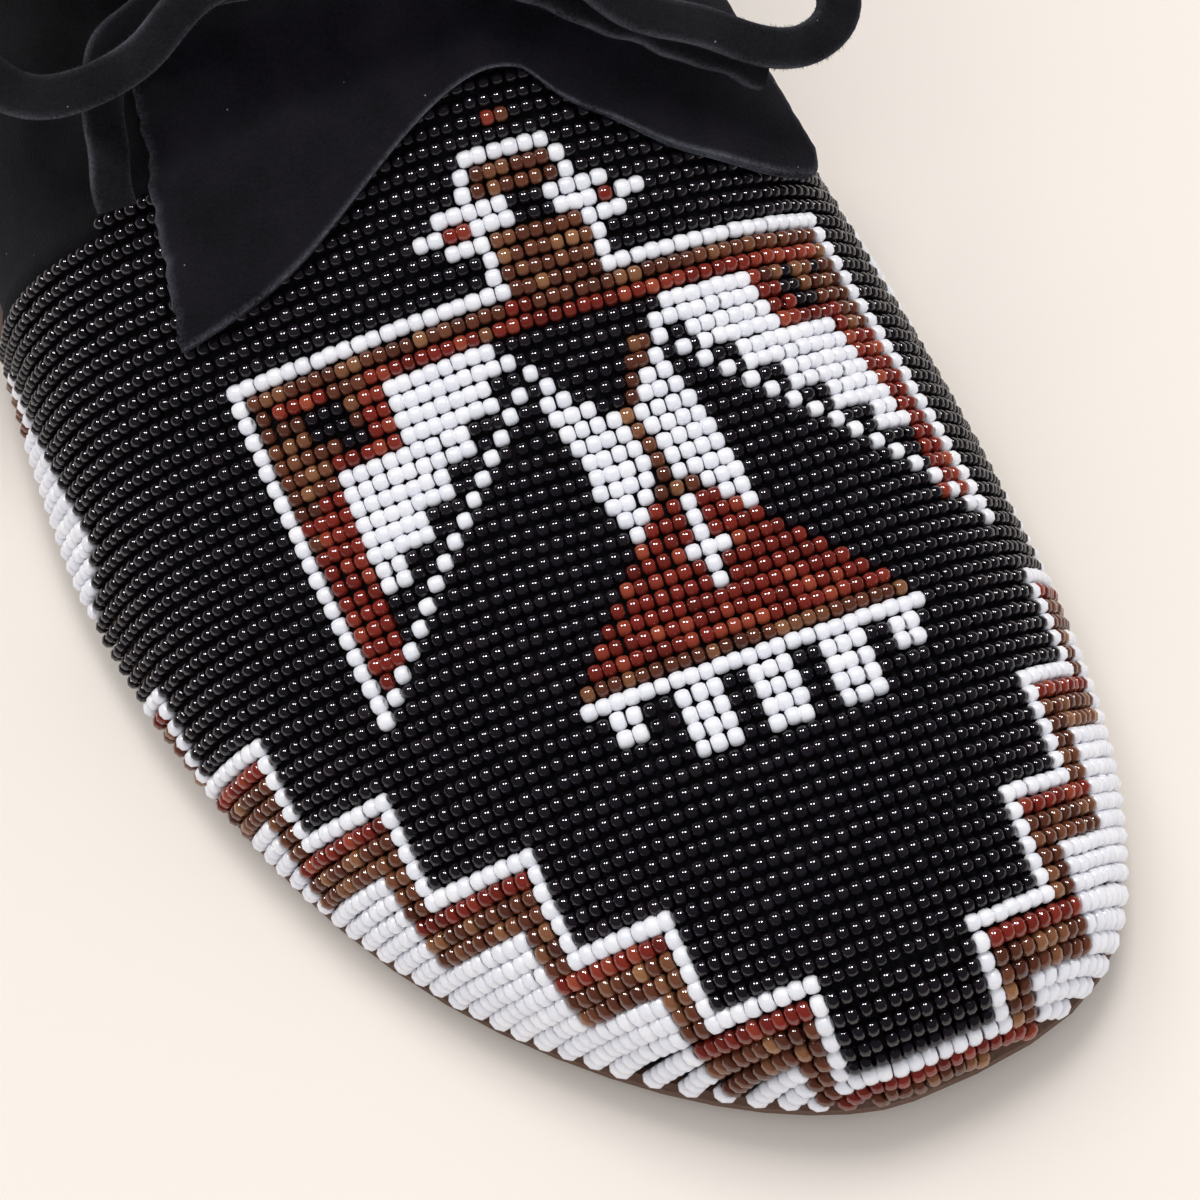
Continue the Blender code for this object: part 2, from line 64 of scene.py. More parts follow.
# Camera
# The photo looks down on the front of the shoe from its outer side, with a long lens, and
# is rolled a little. The optical axis passes left of the middle of the vamp.
AIM = (0.0, 0.0583, 0.025)            # a point on the vamp line, in the vamp's frame
AIM_ACROSS = 709.88 / 1200            # where the photo has it, as shares of the image
AIM_DOWN = 576.59 / 1200
CAMERA_TURN = math.radians(-14.115)   # towards the outer side of the vamp line
CAMERA_RISE = math.radians(65.972)
CAMERA_ROLL = math.radians(7.841)
CAMERA_DISTANCE = 0.57493
SENSOR = 36.0
IMAGE_SCALE = 8.876 * 1000 / 1200     # image widths a metre of object takes at the aim


def make_camera():
    flat = math.cos(CAMERA_RISE)
    back = np.array([math.sin(CAMERA_TURN) * flat, -math.cos(CAMERA_TURN) * flat, math.sin(CAMERA_RISE)])
    level = np.array([math.cos(CAMERA_TURN), math.sin(CAMERA_TURN), 0.0])
    over = np.cross(back, level)
    right = math.cos(CAMERA_ROLL) * level - math.sin(CAMERA_ROLL) * over
    up = math.sin(CAMERA_ROLL) * level + math.cos(CAMERA_ROLL) * over
    focal = IMAGE_SCALE * CAMERA_DISTANCE
    look = -focal * back + (0.5 - AIM_ACROSS) * right + (AIM_DOWN - 0.5) * up
    eye = np.array(AIM) + back * CAMERA_DISTANCE
    spot, ahead, above = placed(eye), placed(eye + look) - placed(eye), placed(eye + up) - placed(eye)
    back_axis = -Vector(ahead).normalized()
    right_axis = Vector(above).cross(back_axis).normalized()
    up_axis = back_axis.cross(right_axis)
    data = bpy.data.cameras.new("camera")
    data.sensor_width = SENSOR
    data.lens = focal * SENSOR
    data.clip_start = 0.01
    camera = bpy.data.objects.new("camera", data)
    turn = Matrix((right_axis, up_axis, back_axis)).transposed()
    camera.matrix_world = Matrix.Translation(Vector(spot)) @ turn.to_4x4()
    bpy.context.scene.collection.objects.link(camera)
    bpy.context.scene.camera = camera


make_camera()


# Floor and light
# A smooth warm white board under a soft even light, with two small lamps nearly overhead
# on the heel's side, which give every bead its pair of bright points.
FLOOR_COLOR = (0.90, 0.83, 0.76)
FLOOR_REACH = 4.0
TENT_COLOR = (0.97, 0.98, 1.0)
TENT_LIGHT = 0.78          # light of the white tent on the shoe and the floor
TENT_MIRRORED = 0.10       # and as glass mirrors it, for the tent's top is dark
LAMP_COLOR = (1.0, 0.985, 0.96)
LAMP_HEIGHT = 1.1
LAMP_BACK = 0.36
LAMP_LINE = math.radians(-28.0)    # the lamps stand on a line that is level in the picture
LAMP_AIM = (0.0, -0.05, 0.02)
# name, place along the line, width, length and power; only glass mirrors the glints, which
# stand for the lamps' bright middles
LAMPS = (
    ("lamp_outer", -0.28, 0.34, 0.46, 1.4),
    ("lamp_inner", 0.27, 0.34, 0.46, 4.2),
    ("glint_outer", -0.35, 0.20, 0.32, 17.0),
    ("glint_inner", 0.35, 0.20, 0.32, 17.0),
)


def make_studio():
    floor_mesh = bpy.data.meshes.new("floor")
    corners = [(x * FLOOR_REACH, y * FLOOR_REACH, 0) for x, y in ((-1, -1), (1, -1), (1, 1), (-1, 1))]
    floor_mesh.from_pydata(corners, [], [(0, 1, 2, 3)])
    floor = bpy.data.objects.new("floor", floor_mesh)
    bpy.context.scene.collection.objects.link(floor)
    board = bpy.data.materials.new("floor_board")
    board.use_nodes = True
    shader = board.node_tree.nodes["Principled BSDF"]
    shader.inputs["Base Color"].default_value = (*FLOOR_COLOR, 1)
    shader.inputs["Roughness"].default_value = 0.9
    shader.inputs["Specular IOR Level"].default_value = 0.2
    floor_mesh.materials.append(board)
    world = bpy.data.worlds.new("soft_light")
    world.use_nodes = True
    tree = world.node_tree
    mirrored = tree.nodes.new("ShaderNodeMapRange")
    tree.links.new(tree.nodes.new("ShaderNodeLightPath").outputs["Is Glossy Ray"], mirrored.inputs["Value"])
    mirrored.inputs["To Min"].default_value = TENT_LIGHT
    mirrored.inputs["To Max"].default_value = TENT_MIRRORED
    tree.nodes["Background"].inputs["Color"].default_value = (*TENT_COLOR, 1)
    tree.links.new(mirrored.outputs["Result"], tree.nodes["Background"].inputs["Strength"])
    bpy.context.scene.world = world
    for name, across, width, tall, power in LAMPS:
        data = bpy.data.lights.new(name, "AREA")
        data.shape = "RECTANGLE"
        data.size = width
        data.size_y = tall
        data.energy = power
        data.color = LAMP_COLOR
        lamp = bpy.data.objects.new(name, data)
        back = LAMP_BACK + across * math.sin(LAMP_LINE)
        spot = Vector((across * math.cos(LAMP_LINE), back, LAMP_HEIGHT))
        aim = Vector(LAMP_AIM) - spot
        lamp.matrix_world = Matrix.Translation(spot) @ aim.to_track_quat("-Z", "Y").to_matrix().to_4x4()
        lamp.visible_diffuse = name.startswith("lamp")
        bpy.context.scene.collection.objects.link(lamp)
    bpy.context.scene.view_settings.view_transform = "Standard"


make_studio()


# Sole and insole
# A flat sole of thick brown leather and a thin tan insole, cut by hand, the sole with its
# raw edge showing all round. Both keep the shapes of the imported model.
SOLE_BROWN = (0.125, 0.060, 0.036)
INSOLE_TAN = (0.36, 0.235, 0.145)


def new_group(name, inputs, outputs):
    """An empty shader group with float sockets and its input and output nodes."""
    group = bpy.data.node_groups.new(name, "ShaderNodeTree")
    for label, value in inputs:
        socket = group.interface.new_socket(name=label, in_out="INPUT", socket_type="NodeSocketFloat")
        socket.default_value = value
    for label in outputs:
        group.interface.new_socket(name=label, in_out="OUTPUT", socket_type="NodeSocketFloat")
    return group, group.nodes.new("NodeGroupInput"), group.nodes.new("NodeGroupOutput")


def math_node(tree, operation, first, second):
    """A math node on two values or sockets, and its result."""
    node = tree.nodes.new("ShaderNodeMath")
    node.operation = operation
    for socket, value in zip(node.inputs, (first, second)):
        if isinstance(value, (int, float)):
            socket.default_value = value
        else:
            tree.links.new(value, socket)
    return node.outputs[0]


def noise_node(tree, place, scale, detail, roughness=0.5):
    node = tree.nodes.new("ShaderNodeTexNoise")
    node.inputs["Detail"].default_value = detail
    node.inputs["Roughness"].default_value = roughness
    if isinstance(scale, (int, float)):
        node.inputs["Scale"].default_value = scale
    else:
        tree.links.new(scale, node.inputs["Scale"])
    tree.links.new(place, node.inputs["Vector"])
    return node.outputs["Fac"]


def leather_group():
    """Grain of tanned leather: fine pores and creases, and broad stains."""
    group, given, out = new_group("leather_grain", [("Grain Size", 0.0012), ("Stain Size", 0.02)],
                                  ["Height", "Stain", "Pores"])
    place = group.nodes.new("ShaderNodeTexCoord").outputs["Object"]
    fine = math_node(group, "DIVIDE", 1.0, given.outputs["Grain Size"])
    broad = math_node(group, "DIVIDE", 1.0, given.outputs["Stain Size"])
    cells = group.nodes.new("ShaderNodeTexVoronoi")
    cells.feature = "DISTANCE_TO_EDGE"
    group.links.new(place, cells.inputs["Vector"])
    group.links.new(fine, cells.inputs["Scale"])
    pores = math_node(group, "MINIMUM", math_node(group, "MULTIPLY", cells.outputs["Distance"], 3.0), 1.0)
    grain = noise_node(group, place, math_node(group, "MULTIPLY", fine, 1.7), 4.0)
    height = math_node(group, "ADD", math_node(group, "MULTIPLY", pores, 0.6), grain)
    group.links.new(height, out.inputs["Height"])
    group.links.new(noise_node(group, place, broad, 5.0, 0.6), out.inputs["Stain"])
    group.links.new(pores, out.inputs["Pores"])
    return group


def color_mix(tree, share, dark, light):
    """A colour between two, by a mask."""
    node = tree.nodes.new("ShaderNodeMix")
    node.data_type = "RGBA"
    for socket, value in ((node.inputs["A"], dark), (node.inputs["B"], light)):
        if isinstance(value, tuple):
            socket.default_value = (*value, 1)
        else:
            tree.links.new(value, socket)
    tree.links.new(share, node.inputs["Factor"])
    return node.outputs["Result"]


def bump(tree, shader, height, strength, distance):
    node = tree.nodes.new("ShaderNodeBump")
    node.inputs["Strength"].default_value = strength
    node.inputs["Distance"].default_value = distance
    tree.links.new(height, node.inputs["Height"])
    tree.links.new(node.outputs["Normal"], shader.inputs["Normal"])


def new_material(name, roughness):
    material = bpy.data.materials.new(name)
    material.use_nodes = True
    shader = material.node_tree.nodes["Principled BSDF"]
    shader.inputs["Roughness"].default_value = roughness
    return material, material.node_tree, shader


def sole_leather(name, color, grain, roughness):
    material, tree, shader = new_material(name, roughness)
    leather = tree.nodes.new("ShaderNodeGroup")
    leather.node_tree = LEATHER_GRAIN
    leather.inputs["Grain Size"].default_value = grain
    dark = tuple(c * 0.45 for c in color)
    light = tuple(min(1.0, c * 1.35) for c in color)
    stained = color_mix(tree, leather.outputs["Stain"], dark, light)
    tree.links.new(stained, shader.inputs["Base Color"])
    bump(tree, shader, leather.outputs["Height"], 0.5, 0.00025)
    return material


LEATHER_GRAIN = leather_group()
for node, color, grain, roughness in (("outsole", SOLE_BROWN, 0.0011, 0.72),
                                      ("insole", INSOLE_TAN, 0.0016, 0.62)):
    leather_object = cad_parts[node]
    leather_object.data.materials.clear()
    leather_object.data.materials.append(sole_leather(node + "_leather", color, grain, roughness))


# Vamp and quarters
# Black suede cow leather, one and a half millimetres thick, drawn over the last. The vamp
# under the beads and the quarters round the heel are joined by a seam behind the last row
# of beads, and the heel by a seam up its back.
LENGTH = 0.260
BALL_WIDTH = 0.098
HEEL_WIDTH = 0.066
TOE_HEIGHT = 0.026
INSTEP_HEIGHT = 0.073
ANKLE_HEIGHT = 0.120
SOLE_LIP = 0.0015
SOLE_TOP = 0.0035
TOE_SPRING = 0.004
SPRING_LENGTH = 0.045
HEEL_LIFT = 0.001
HEEL_LIFT_LENGTH = 0.014
LEATHER = 0.0015
VAMP_EDGE = 0.4562 * LENGTH
VAMP_LEAN = 0.0087
COLLAR_FRONT = 0.0585
COLLAR_HEEL = 0.064
FORM_LENGTH = LENGTH - 2 * SOLE_LIP

# Sections of the leather's outside, square to the vamp line, as in the part's source.
# station: 0 at the toe to 1 at the heel, on a half turn so that both ends close round
# middle: middle of the section, to the inner side of the long axis
# half: half width; both are shares of the width in the next column
# height: share of the height in the next column
# power: fullness of the arch; ridge: 0 on the vamp line, 1 over the middle
SECTIONS = (
    (0.00, 0.000, 0.000, BALL_WIDTH, 0.000, TOE_HEIGHT, 2.24, 0.00),
    (0.05, 0.043, 0.118, BALL_WIDTH, 0.360, TOE_HEIGHT, 2.24, 0.00),
    (0.10, 0.049, 0.215, BALL_WIDTH, 0.670, TOE_HEIGHT, 2.24, 0.00),
    (0.16, 0.028, 0.308, BALL_WIDTH, 0.850, TOE_HEIGHT, 2.23, 0.00),
    (0.23, -0.001, 0.404, BALL_WIDTH, 0.930, TOE_HEIGHT, 2.22, 0.00),
    (0.31, -0.028, 0.474, BALL_WIDTH, 1.000, TOE_HEIGHT, 2.20, 0.00),
    (0.40, -0.034, 0.500, BALL_WIDTH, 0.429, INSTEP_HEIGHT, 2.18, 0.00),
    (0.49, -0.016, 0.476, BALL_WIDTH, 0.647, INSTEP_HEIGHT, 2.16, 0.00),
    (0.58, 0.006, 0.425, BALL_WIDTH, 1.000, INSTEP_HEIGHT, 2.40, 0.35),
    (0.67, 0.015, 0.538, HEEL_WIDTH, 0.850, ANKLE_HEIGHT, 3.00, 0.80),
    (0.76, 0.009, 0.500, HEEL_WIDTH, 0.970, ANKLE_HEIGHT, 3.80, 1.00),
    (0.84, 0.045, 0.427, HEEL_WIDTH, 1.000, ANKLE_HEIGHT, 4.00, 1.00),
    (0.90, 0.065, 0.294, HEEL_WIDTH, 1.000, ANKLE_HEIGHT, 4.00, 1.00),
    (0.95, 0.076, 0.153, HEEL_WIDTH, 1.000, ANKLE_HEIGHT, 4.00, 1.00),
    (1.00, 0.079, 0.000, HEEL_WIDTH, 1.000, ANKLE_HEIGHT, 4.00, 1.00),
)


def natural_spline(xs, ys):
    """A natural cubic spline through the points, as a function of arrays."""
    xs = np.array(xs, float)
    ys = np.array(ys, float)
    count = len(xs)
    step = np.diff(xs)
    rows = np.zeros((count, count))
    right = np.zeros(count)
    rows[0, 0] = 1.0
    rows[-1, -1] = 1.0
    for i in range(1, count - 1):
        rows[i, i - 1:i + 2] = step[i - 1], 2 * (step[i - 1] + step[i]), step[i]
        right[i] = 6 * ((ys[i + 1] - ys[i]) / step[i] - (ys[i] - ys[i - 1]) / step[i - 1])
    bend = np.linalg.solve(rows, right)

    def value(x):
        x = np.clip(x, xs[0], xs[-1])
        i = np.clip(np.searchsorted(xs, x, side="right") - 1, 0, count - 2)
        up = x - xs[i]
        down = xs[i + 1] - x
        h = step[i]
        curve = (bend[i] * down ** 3 + bend[i + 1] * up ** 3) / (6 * h)
        return curve + (ys[i] / h - bend[i] * h / 6) * down + (ys[i + 1] / h - bend[i + 1] * h / 6) * up

    return value


STATIONS = [row[0] for row in SECTIONS]
MIDDLE = natural_spline(STATIONS, [row[1] * row[3] for row in SECTIONS])
HALF = natural_spline(STATIONS, [row[2] * row[3] for row in SECTIONS])
HEIGHT = natural_spline(STATIONS, [row[4] * row[5] for row in SECTIONS])
POWER = natural_spline(STATIONS, [row[6] for row in SECTIONS])
RIDGE = natural_spline(STATIONS, [row[7] for row in SECTIONS])


def smooth(x):
    """0 below 0, 1 above 1, with a soft step between."""
    x = np.clip(x, 0.0, 1.0)
    return x * x * (3 - 2 * x)


def run_along(line):
    """Length along a line, from its start to each of its points."""
    return np.concatenate([[0.0], np.cumsum(np.linalg.norm(np.diff(line, axis=0), axis=1))])


def at_run(spot, run, rows):
    """What the rows along a line say at one length, between its points."""
    return np.array([np.interp(spot, run, rows[:, k]) for k in range(3)])


def station_at(s):
    return np.arccos(np.clip(1 - 2 * s / FORM_LENGTH, -1, 1)) / math.pi


def along(t):
    return FORM_LENGTH * (1 - np.cos(math.pi * t)) / 2


def ground(s):
    """Underside of the sole: flat, with toe spring and a slight lift at the heel."""
    toe = TOE_SPRING * np.maximum(0.0, 1 - s / SPRING_LENGTH) ** 2
    heel = np.maximum(0.0, (s - FORM_LENGTH) / HEEL_LIFT_LENGTH + 1) ** 2
    return toe + HEEL_LIFT * heel


def collar(s):
    """Height of the quarters' top edge."""
    share = (s - VAMP_EDGE) / (FORM_LENGTH - VAMP_EDGE)
    return COLLAR_FRONT + (COLLAR_HEEL - COLLAR_FRONT) * share


def form(t, a):
    """Outside of the leather. a runs over the foot, from 0 outside to 1 inside."""
    t, a = np.broadcast_arrays(np.asarray(t, float), np.asarray(a, float))
    s = along(t)
    middle = MIDDLE(t) - s * math.tan(TOE_TURN)
    half = HALF(t)
    ridge = RIDGE(t) * middle
    lift = np.sin(math.pi * a)
    power = POWER(t)
    out = np.maximum(0.0, 1 - np.maximum(lift, 0.0) ** power) ** (1 / power)
    side = np.where(a < 0.5, middle - half, middle + half)
    x = ridge + (side - ridge) * out
    z = ground(s) + SOLE_TOP + HEIGHT(t) * lift
    return np.stack([x, s, z], -1)


def outward(t, a):
    """Outward unit normals of the form."""
    t, a = np.broadcast_arrays(np.asarray(t, float), np.asarray(a, float))
    step = 0.0004
    tc = np.clip(t, 0.012, 0.988)
    ac = np.clip(a, 2 * step, 1 - 2 * step)
    over = form(tc, ac + step) - form(tc, ac - step)
    back = form(tc + step, ac) - form(tc - step, ac)
    normal = np.cross(over, back)
    rim = (a <= 0.0) | (a >= 1.0)
    normal[..., 2] = np.where(rim, 0.0, normal[..., 2])
    normal /= np.linalg.norm(normal, axis=-1, keepdims=True)
    normal[t <= 0.0] = (0, -1, 0)
    normal[t >= 1.0] = (0, 1, 0)
    return normal


def skin(t, a, out):
    """The form moved outward by out."""
    return form(t, a) + outward(t, a) * np.asarray(out, float)[..., None]


def vamp_edge(lift):
    """Where the beadwork ends, at a share of the height of the foot."""
    return VAMP_EDGE + VAMP_LEAN * (1 - lift)


def add_piece(name, points, faces, material, slot, smooth_angle=40.0, pale_lit_edge=None):
    """One closed body from points of the vamp's frame, its faces turned outward.

    The last argument gives each point's share of an edge painted paler: the pale fibres of a cut edge, and
    a painted highlight along it.
    """
    mesh = bpy.data.meshes.new(name)
    bm = bmesh.new()
    verts = [bm.verts.new(tuple(p)) for p in placed(points)]
    for face in faces:
        bm.faces.new([verts[i] for i in face])
    bmesh.ops.recalc_face_normals(bm, faces=bm.faces)
    bm.to_mesh(mesh)
    bm.free()
    mesh.shade_smooth()
    mesh.set_sharp_from_angle(angle=math.radians(smooth_angle))
    mesh.materials.append(material)
    # share of the paler edge paint: cut fibres, and a painted highlight
    if pale_lit_edge is not None:
        edge = mesh.attributes.new("pale_lit_edge_share", "FLOAT", "POINT")
        edge.data.foreach_set("value", np.asarray(pale_lit_edge, np.float32))
    piece = bpy.data.objects.new(name, mesh)
    bpy.context.scene.collection.objects.link(piece)
    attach(piece, "root")
    return piece


PALE_LIT_EDGE_COLOR = (0.125, 0.130, 0.155)      # pale fibres of a cut edge, and a painted highlight along it
LINT = (0.30, 0.30, 0.33)
LINT_DENSITY = 260.0       # cells to a metre in which a speck may lie
LINT_SIZE = 0.026          # share of a cell


def suede_group():
    """Nap of suede: short fibres brushed into patches, and a few specks of lint."""
    group, given, out = new_group("suede_nap", [("Fibre Size", 0.00036), ("Patch Size", 0.009)],
                                  ["Height", "Nap", "Lint"])
    place = group.nodes.new("ShaderNodeTexCoord").outputs["Object"]
    fine = math_node(group, "DIVIDE", 1.0, given.outputs["Fibre Size"])
    broad = math_node(group, "DIVIDE", 1.0, given.outputs["Patch Size"])
    fibres = noise_node(group, place, fine, 3.0, 0.7)
    patches = noise_node(group, place, broad, 4.0, 0.55)
    nap = math_node(group, "MULTIPLY", math_node(group, "ADD", fibres, patches), 0.5)
    specks = group.nodes.new("ShaderNodeTexVoronoi")
    specks.inputs["Scale"].default_value = LINT_DENSITY
    group.links.new(place, specks.inputs["Vector"])
    lint = math_node(group, "LESS_THAN", specks.outputs["Distance"], LINT_SIZE)
    height = math_node(group, "ADD", fibres, math_node(group, "MULTIPLY", patches, 0.8))
    group.links.new(height, out.inputs["Height"])
    brushed = math_node(group, "MULTIPLY", math_node(group, "SUBTRACT", nap, 0.36), 3.2)
    brushed = math_node(group, "MINIMUM", math_node(group, "MAXIMUM", brushed, 0.0), 1.0)
    group.links.new(brushed, out.inputs["Nap"])
    group.links.new(lint, out.inputs["Lint"])
    return group


def suede(name, dark, light, sheen=0.035):
    material, tree, shader = new_material(name, 0.92)
    nap = tree.nodes.new("ShaderNodeGroup")
    nap.node_tree = SUEDE_NAP
    brushed = color_mix(tree, nap.outputs["Nap"], dark, light)
    # Edges are painted paler by their share, broken by the nap: partly the pale fibres of a cut edge,
    # partly a painted highlight along it.
    pale_lit_edge_attribute = tree.nodes.new("ShaderNodeAttribute")
    pale_lit_edge_attribute.attribute_name = "pale_lit_edge_share"
    pale_lit_edge_fuzz = math_node(tree, "MULTIPLY", pale_lit_edge_attribute.outputs["Fac"], nap.outputs["Nap"])
    with_pale_lit_edge = color_mix(tree, pale_lit_edge_fuzz, brushed, PALE_LIT_EDGE_COLOR)
    tree.links.new(color_mix(tree, nap.outputs["Lint"], with_pale_lit_edge, LINT), shader.inputs["Base Color"])
    shader.inputs["Specular IOR Level"].default_value = 0.06
    shader.inputs["Sheen Weight"].default_value = sheen
    shader.inputs["Sheen Roughness"].default_value = 0.45
    shader.inputs["Sheen Tint"].default_value = (0.75, 0.8, 1.0, 1)
    bump(tree, shader, nap.outputs["Height"], 0.75, 0.00030)
    return material


def quarter_creases(s, a):
    """Soft troughs where the leather folds at the instep and over the heel."""
    fold = 0.0
    for place, slope, width, depth in ((0.137, 0.030, 0.0035, 0.0007), (0.149, 0.038, 0.0045, 0.0009),
                                       (0.163, 0.030, 0.0040, 0.0006), (0.214, -0.012, 0.0060, 0.0005)):
        away = (s - place - slope * np.sin(math.pi * a)) / width
        fold = fold - depth * np.exp(-away ** 2)
    return fold


HEEL_SEAM = 0.0006         # how far the seam up the heel stands out
WELT_RISE = 0.0007         # and the edge of the quarters behind the beads
UNDER_BEADS = -0.0003      # the leather under the beads


def make_upper(columns=34, front=56, back=90):
    """Vamp and quarters in one hollow wall, open at the collar and underneath."""
    t = np.linspace(0.4, 0.7, 1201)
    ridge = form(t, np.full_like(t, 0.5))
    throat = float(np.interp(0.0, ridge[:, 2] - collar(ridge[:, 1]), t))
    edge = float(station_at(VAMP_EDGE))
    edge_back = float(station_at(VAMP_EDGE + 0.0008))
    lean_front = VAMP_EDGE / 2
    t = list(np.linspace(0, edge, front + 1))
    t += [edge_back] + list(np.linspace(edge_back, throat, 13)[1:-1])
    opening = len(t)
    turn = np.linspace(0, math.pi / 2, back + 1)
    t += list(throat + (1 - throat) * (0.35 * (1 - np.cos(turn)) + 0.65 * turn / turn[-1]))
    t = np.array(t)
    last = len(t) - 1
    s = along(t)
    rise = (collar(s) - ground(s) - SOLE_TOP) / np.maximum(HEIGHT(t), 1e-6)
    top = np.where(np.arange(last + 1) < opening, 0.5, np.arcsin(np.clip(rise, 0, 1)) / math.pi)
    top[opening] = 0.5
    share = smooth((s - lean_front) / (VAMP_EDGE - lean_front))
    share *= 1 - smooth((s - VAMP_EDGE - 0.001) / (along(throat) - VAMP_EDGE))
    grids = {}
    for side in (0, 1):
        a = top[:, None] * np.linspace(0, 1, columns + 1)[None, :]
        lean = (vamp_edge(np.sin(math.pi * a)) - VAMP_EDGE) * share[:, None]
        free = (np.arange(last + 1) < 2) | (np.arange(last + 1) >= opening)
        station = np.where(free[:, None], t[:, None], station_at(s[:, None] + lean))
        over = a if side == 0 else 1 - a
        behind = along(station) - vamp_edge(np.sin(math.pi * a))
        under_beads = np.arange(last + 1)[:, None] <= front
        welt = WELT_RISE * np.exp(-((behind - 0.0018) / 0.0011) ** 2)
        welt = welt + HEEL_SEAM * np.exp(-((1 - station) / 0.006) ** 2)
        creased = welt + quarter_creases(along(station), a) * smooth(behind / 0.01)
        outer = np.where(under_beads, UNDER_BEADS, creased)
        inner = np.full_like(a, -LEATHER) + np.minimum(outer, 0) * (outer < UNDER_BEADS)
        for layer, out in ((0, outer), (1, inner)):
            points = skin(station, over, out)
            points[:, 0, 2] = ground(points[:, 0, 1]) + SOLE_TOP
            grids[layer, side] = points
    points = []
    index = {}

    def corner(layer, side, i, j):
        """Vertex number, shared at the toe's tip, along the ridge and up the heel."""
        if i == 0:
            side, j = 0, 0
        if side == 1 and (i == last or (j == columns and i <= opening)):
            side = 0
        key = (layer, side, i, j)
        if key not in index:
            index[key] = len(points)
            points.append(grids[layer, side][i, j])
        return index[key]

    faces = []

    def add(*corners):
        ring = []
        for number in corners:
            if number not in ring:
                ring.append(number)
        if len(ring) > 2:
            faces.append(tuple(ring))

    for side in (0, 1):
        for i in range(last):
            for layer in (0, 1):
                for j in range(columns):
                    add(corner(layer, side, i, j), corner(layer, side, i + 1, j),
                        corner(layer, side, i + 1, j + 1), corner(layer, side, i, j + 1))
            rims = [0] if i < opening else [0, columns]
            for j in rims:
                add(corner(0, side, i, j), corner(0, side, i + 1, j),
                    corner(1, side, i + 1, j), corner(1, side, i, j))
    return points, faces


SUEDE_NAP = suede_group()
UPPER_SUEDE = suede("upper_suede", (0.0035, 0.0033, 0.0042), (0.012, 0.0115, 0.0135))
upper = add_piece("upper_leather", *make_upper(), UPPER_SUEDE, "beaded_leather")
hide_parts("upper")


# Beadwork
# Glass seed beads of size 11/0, strung and sewn down in rows across the vamp from the toe
# to behind the ball. Opaque white, black, translucent brown and red, about two millimetres
# across. A stepped border runs round the toe and a thunderbird spreads over the vamp.
BEAD_WIDTH = 0.001648      # a column of the pattern, along the row
BEAD_SEAT = 0.00065        # middle of a bead above the leather
FIRST_ROW = 2
LAST_ROW = 66
BEADWORK_THICKNESS = 0.0017
BEADWORK_REACH = 0.1375    # along the ridge, from the sole over the toe to the last row
THICK_SPACING = 0.00204    # rows further apart than this have thicker beads
SLIMMEST = 0.97            # how far a bead's size follows the spacing of its rows
WIDEST = 1.38
THICKEST = 1.06
LOOSE_ALONG = 0.04         # how evenly they are sewn: along the row, in columns
LOOSE_OUT = 0.00004
LOOSE_ASIDE = 0.00005
LOOSE_YAW = 0.045
LOOSE_PITCH = 0.05
UNEVEN_BEADS = (0.035, 0.02, 0.02)
BEADS_A_PIECE = 1500
# length along the row and thickness across it, and the pitch in columns
BEAD_KINDS = {
    "white": (0.00178, 0.00211, 1.045),
    "black": (0.00144, 0.00177, 0.945),
    "brown": (0.00156, 0.00202, 0.975),
    "red": (0.00158, 0.00202, 0.985),
}


# first row, its distance from the sole's edge over the toe, and the spacing of rows behind it
ROW_SPACINGS = ((28, 0.0611, 0.001955), (10, 0.0229, 0.002122))
TOE_SPACING = 0.00267      # rows before those, over the toe


def row_reach(row):
    """Distance of a row from the sole's edge over the toe, along the ridge."""
    for first, reach, spacing in ROW_SPACINGS:
        if row >= first:
            return reach + spacing * (row - first)
    return reach - TOE_SPACING * (first - row)


ROW_POINTS = 500
ROW_COLUMNS = 90           # about as many as the longest row has
SWAY_ROW = 8               # from here on the rows run a little forward on the inner side
ROW_SWAY = 0.0012
FAN_ROW = 28               # and from here on each bends back at its ends by this more
BACK_FAN = 0.00009
WING_FAN = 0.0009          # and the rows about the wings by this
WING_MIDDLE = 38
SIDE_BELLY = 0.0007        # down at the sole the beads stand off the leather
BALL_BELLY = 0.0010        # and more so at the outer side of the ball
BALL_PLACE = 0.090
BALL_LENGTH = 0.022
BELLY_HEIGHT = 0.005
RIDGE_STATIONS = np.linspace(0, 0.62, 700)
RIDGE_LINE = skin(RIDGE_STATIONS, np.full(700, 0.5), np.full(700, BEADWORK_THICKNESS))
RIDGE_REACH = run_along(RIDGE_LINE)
SOLE_AT_REACH = natural_spline([0, 0.012, 0.025, 0.045, 0.080, 0.120, 0.160],
                               [0, 0.0056, 0.0173, 0.0369, 0.0697, 0.1105, 0.1500])


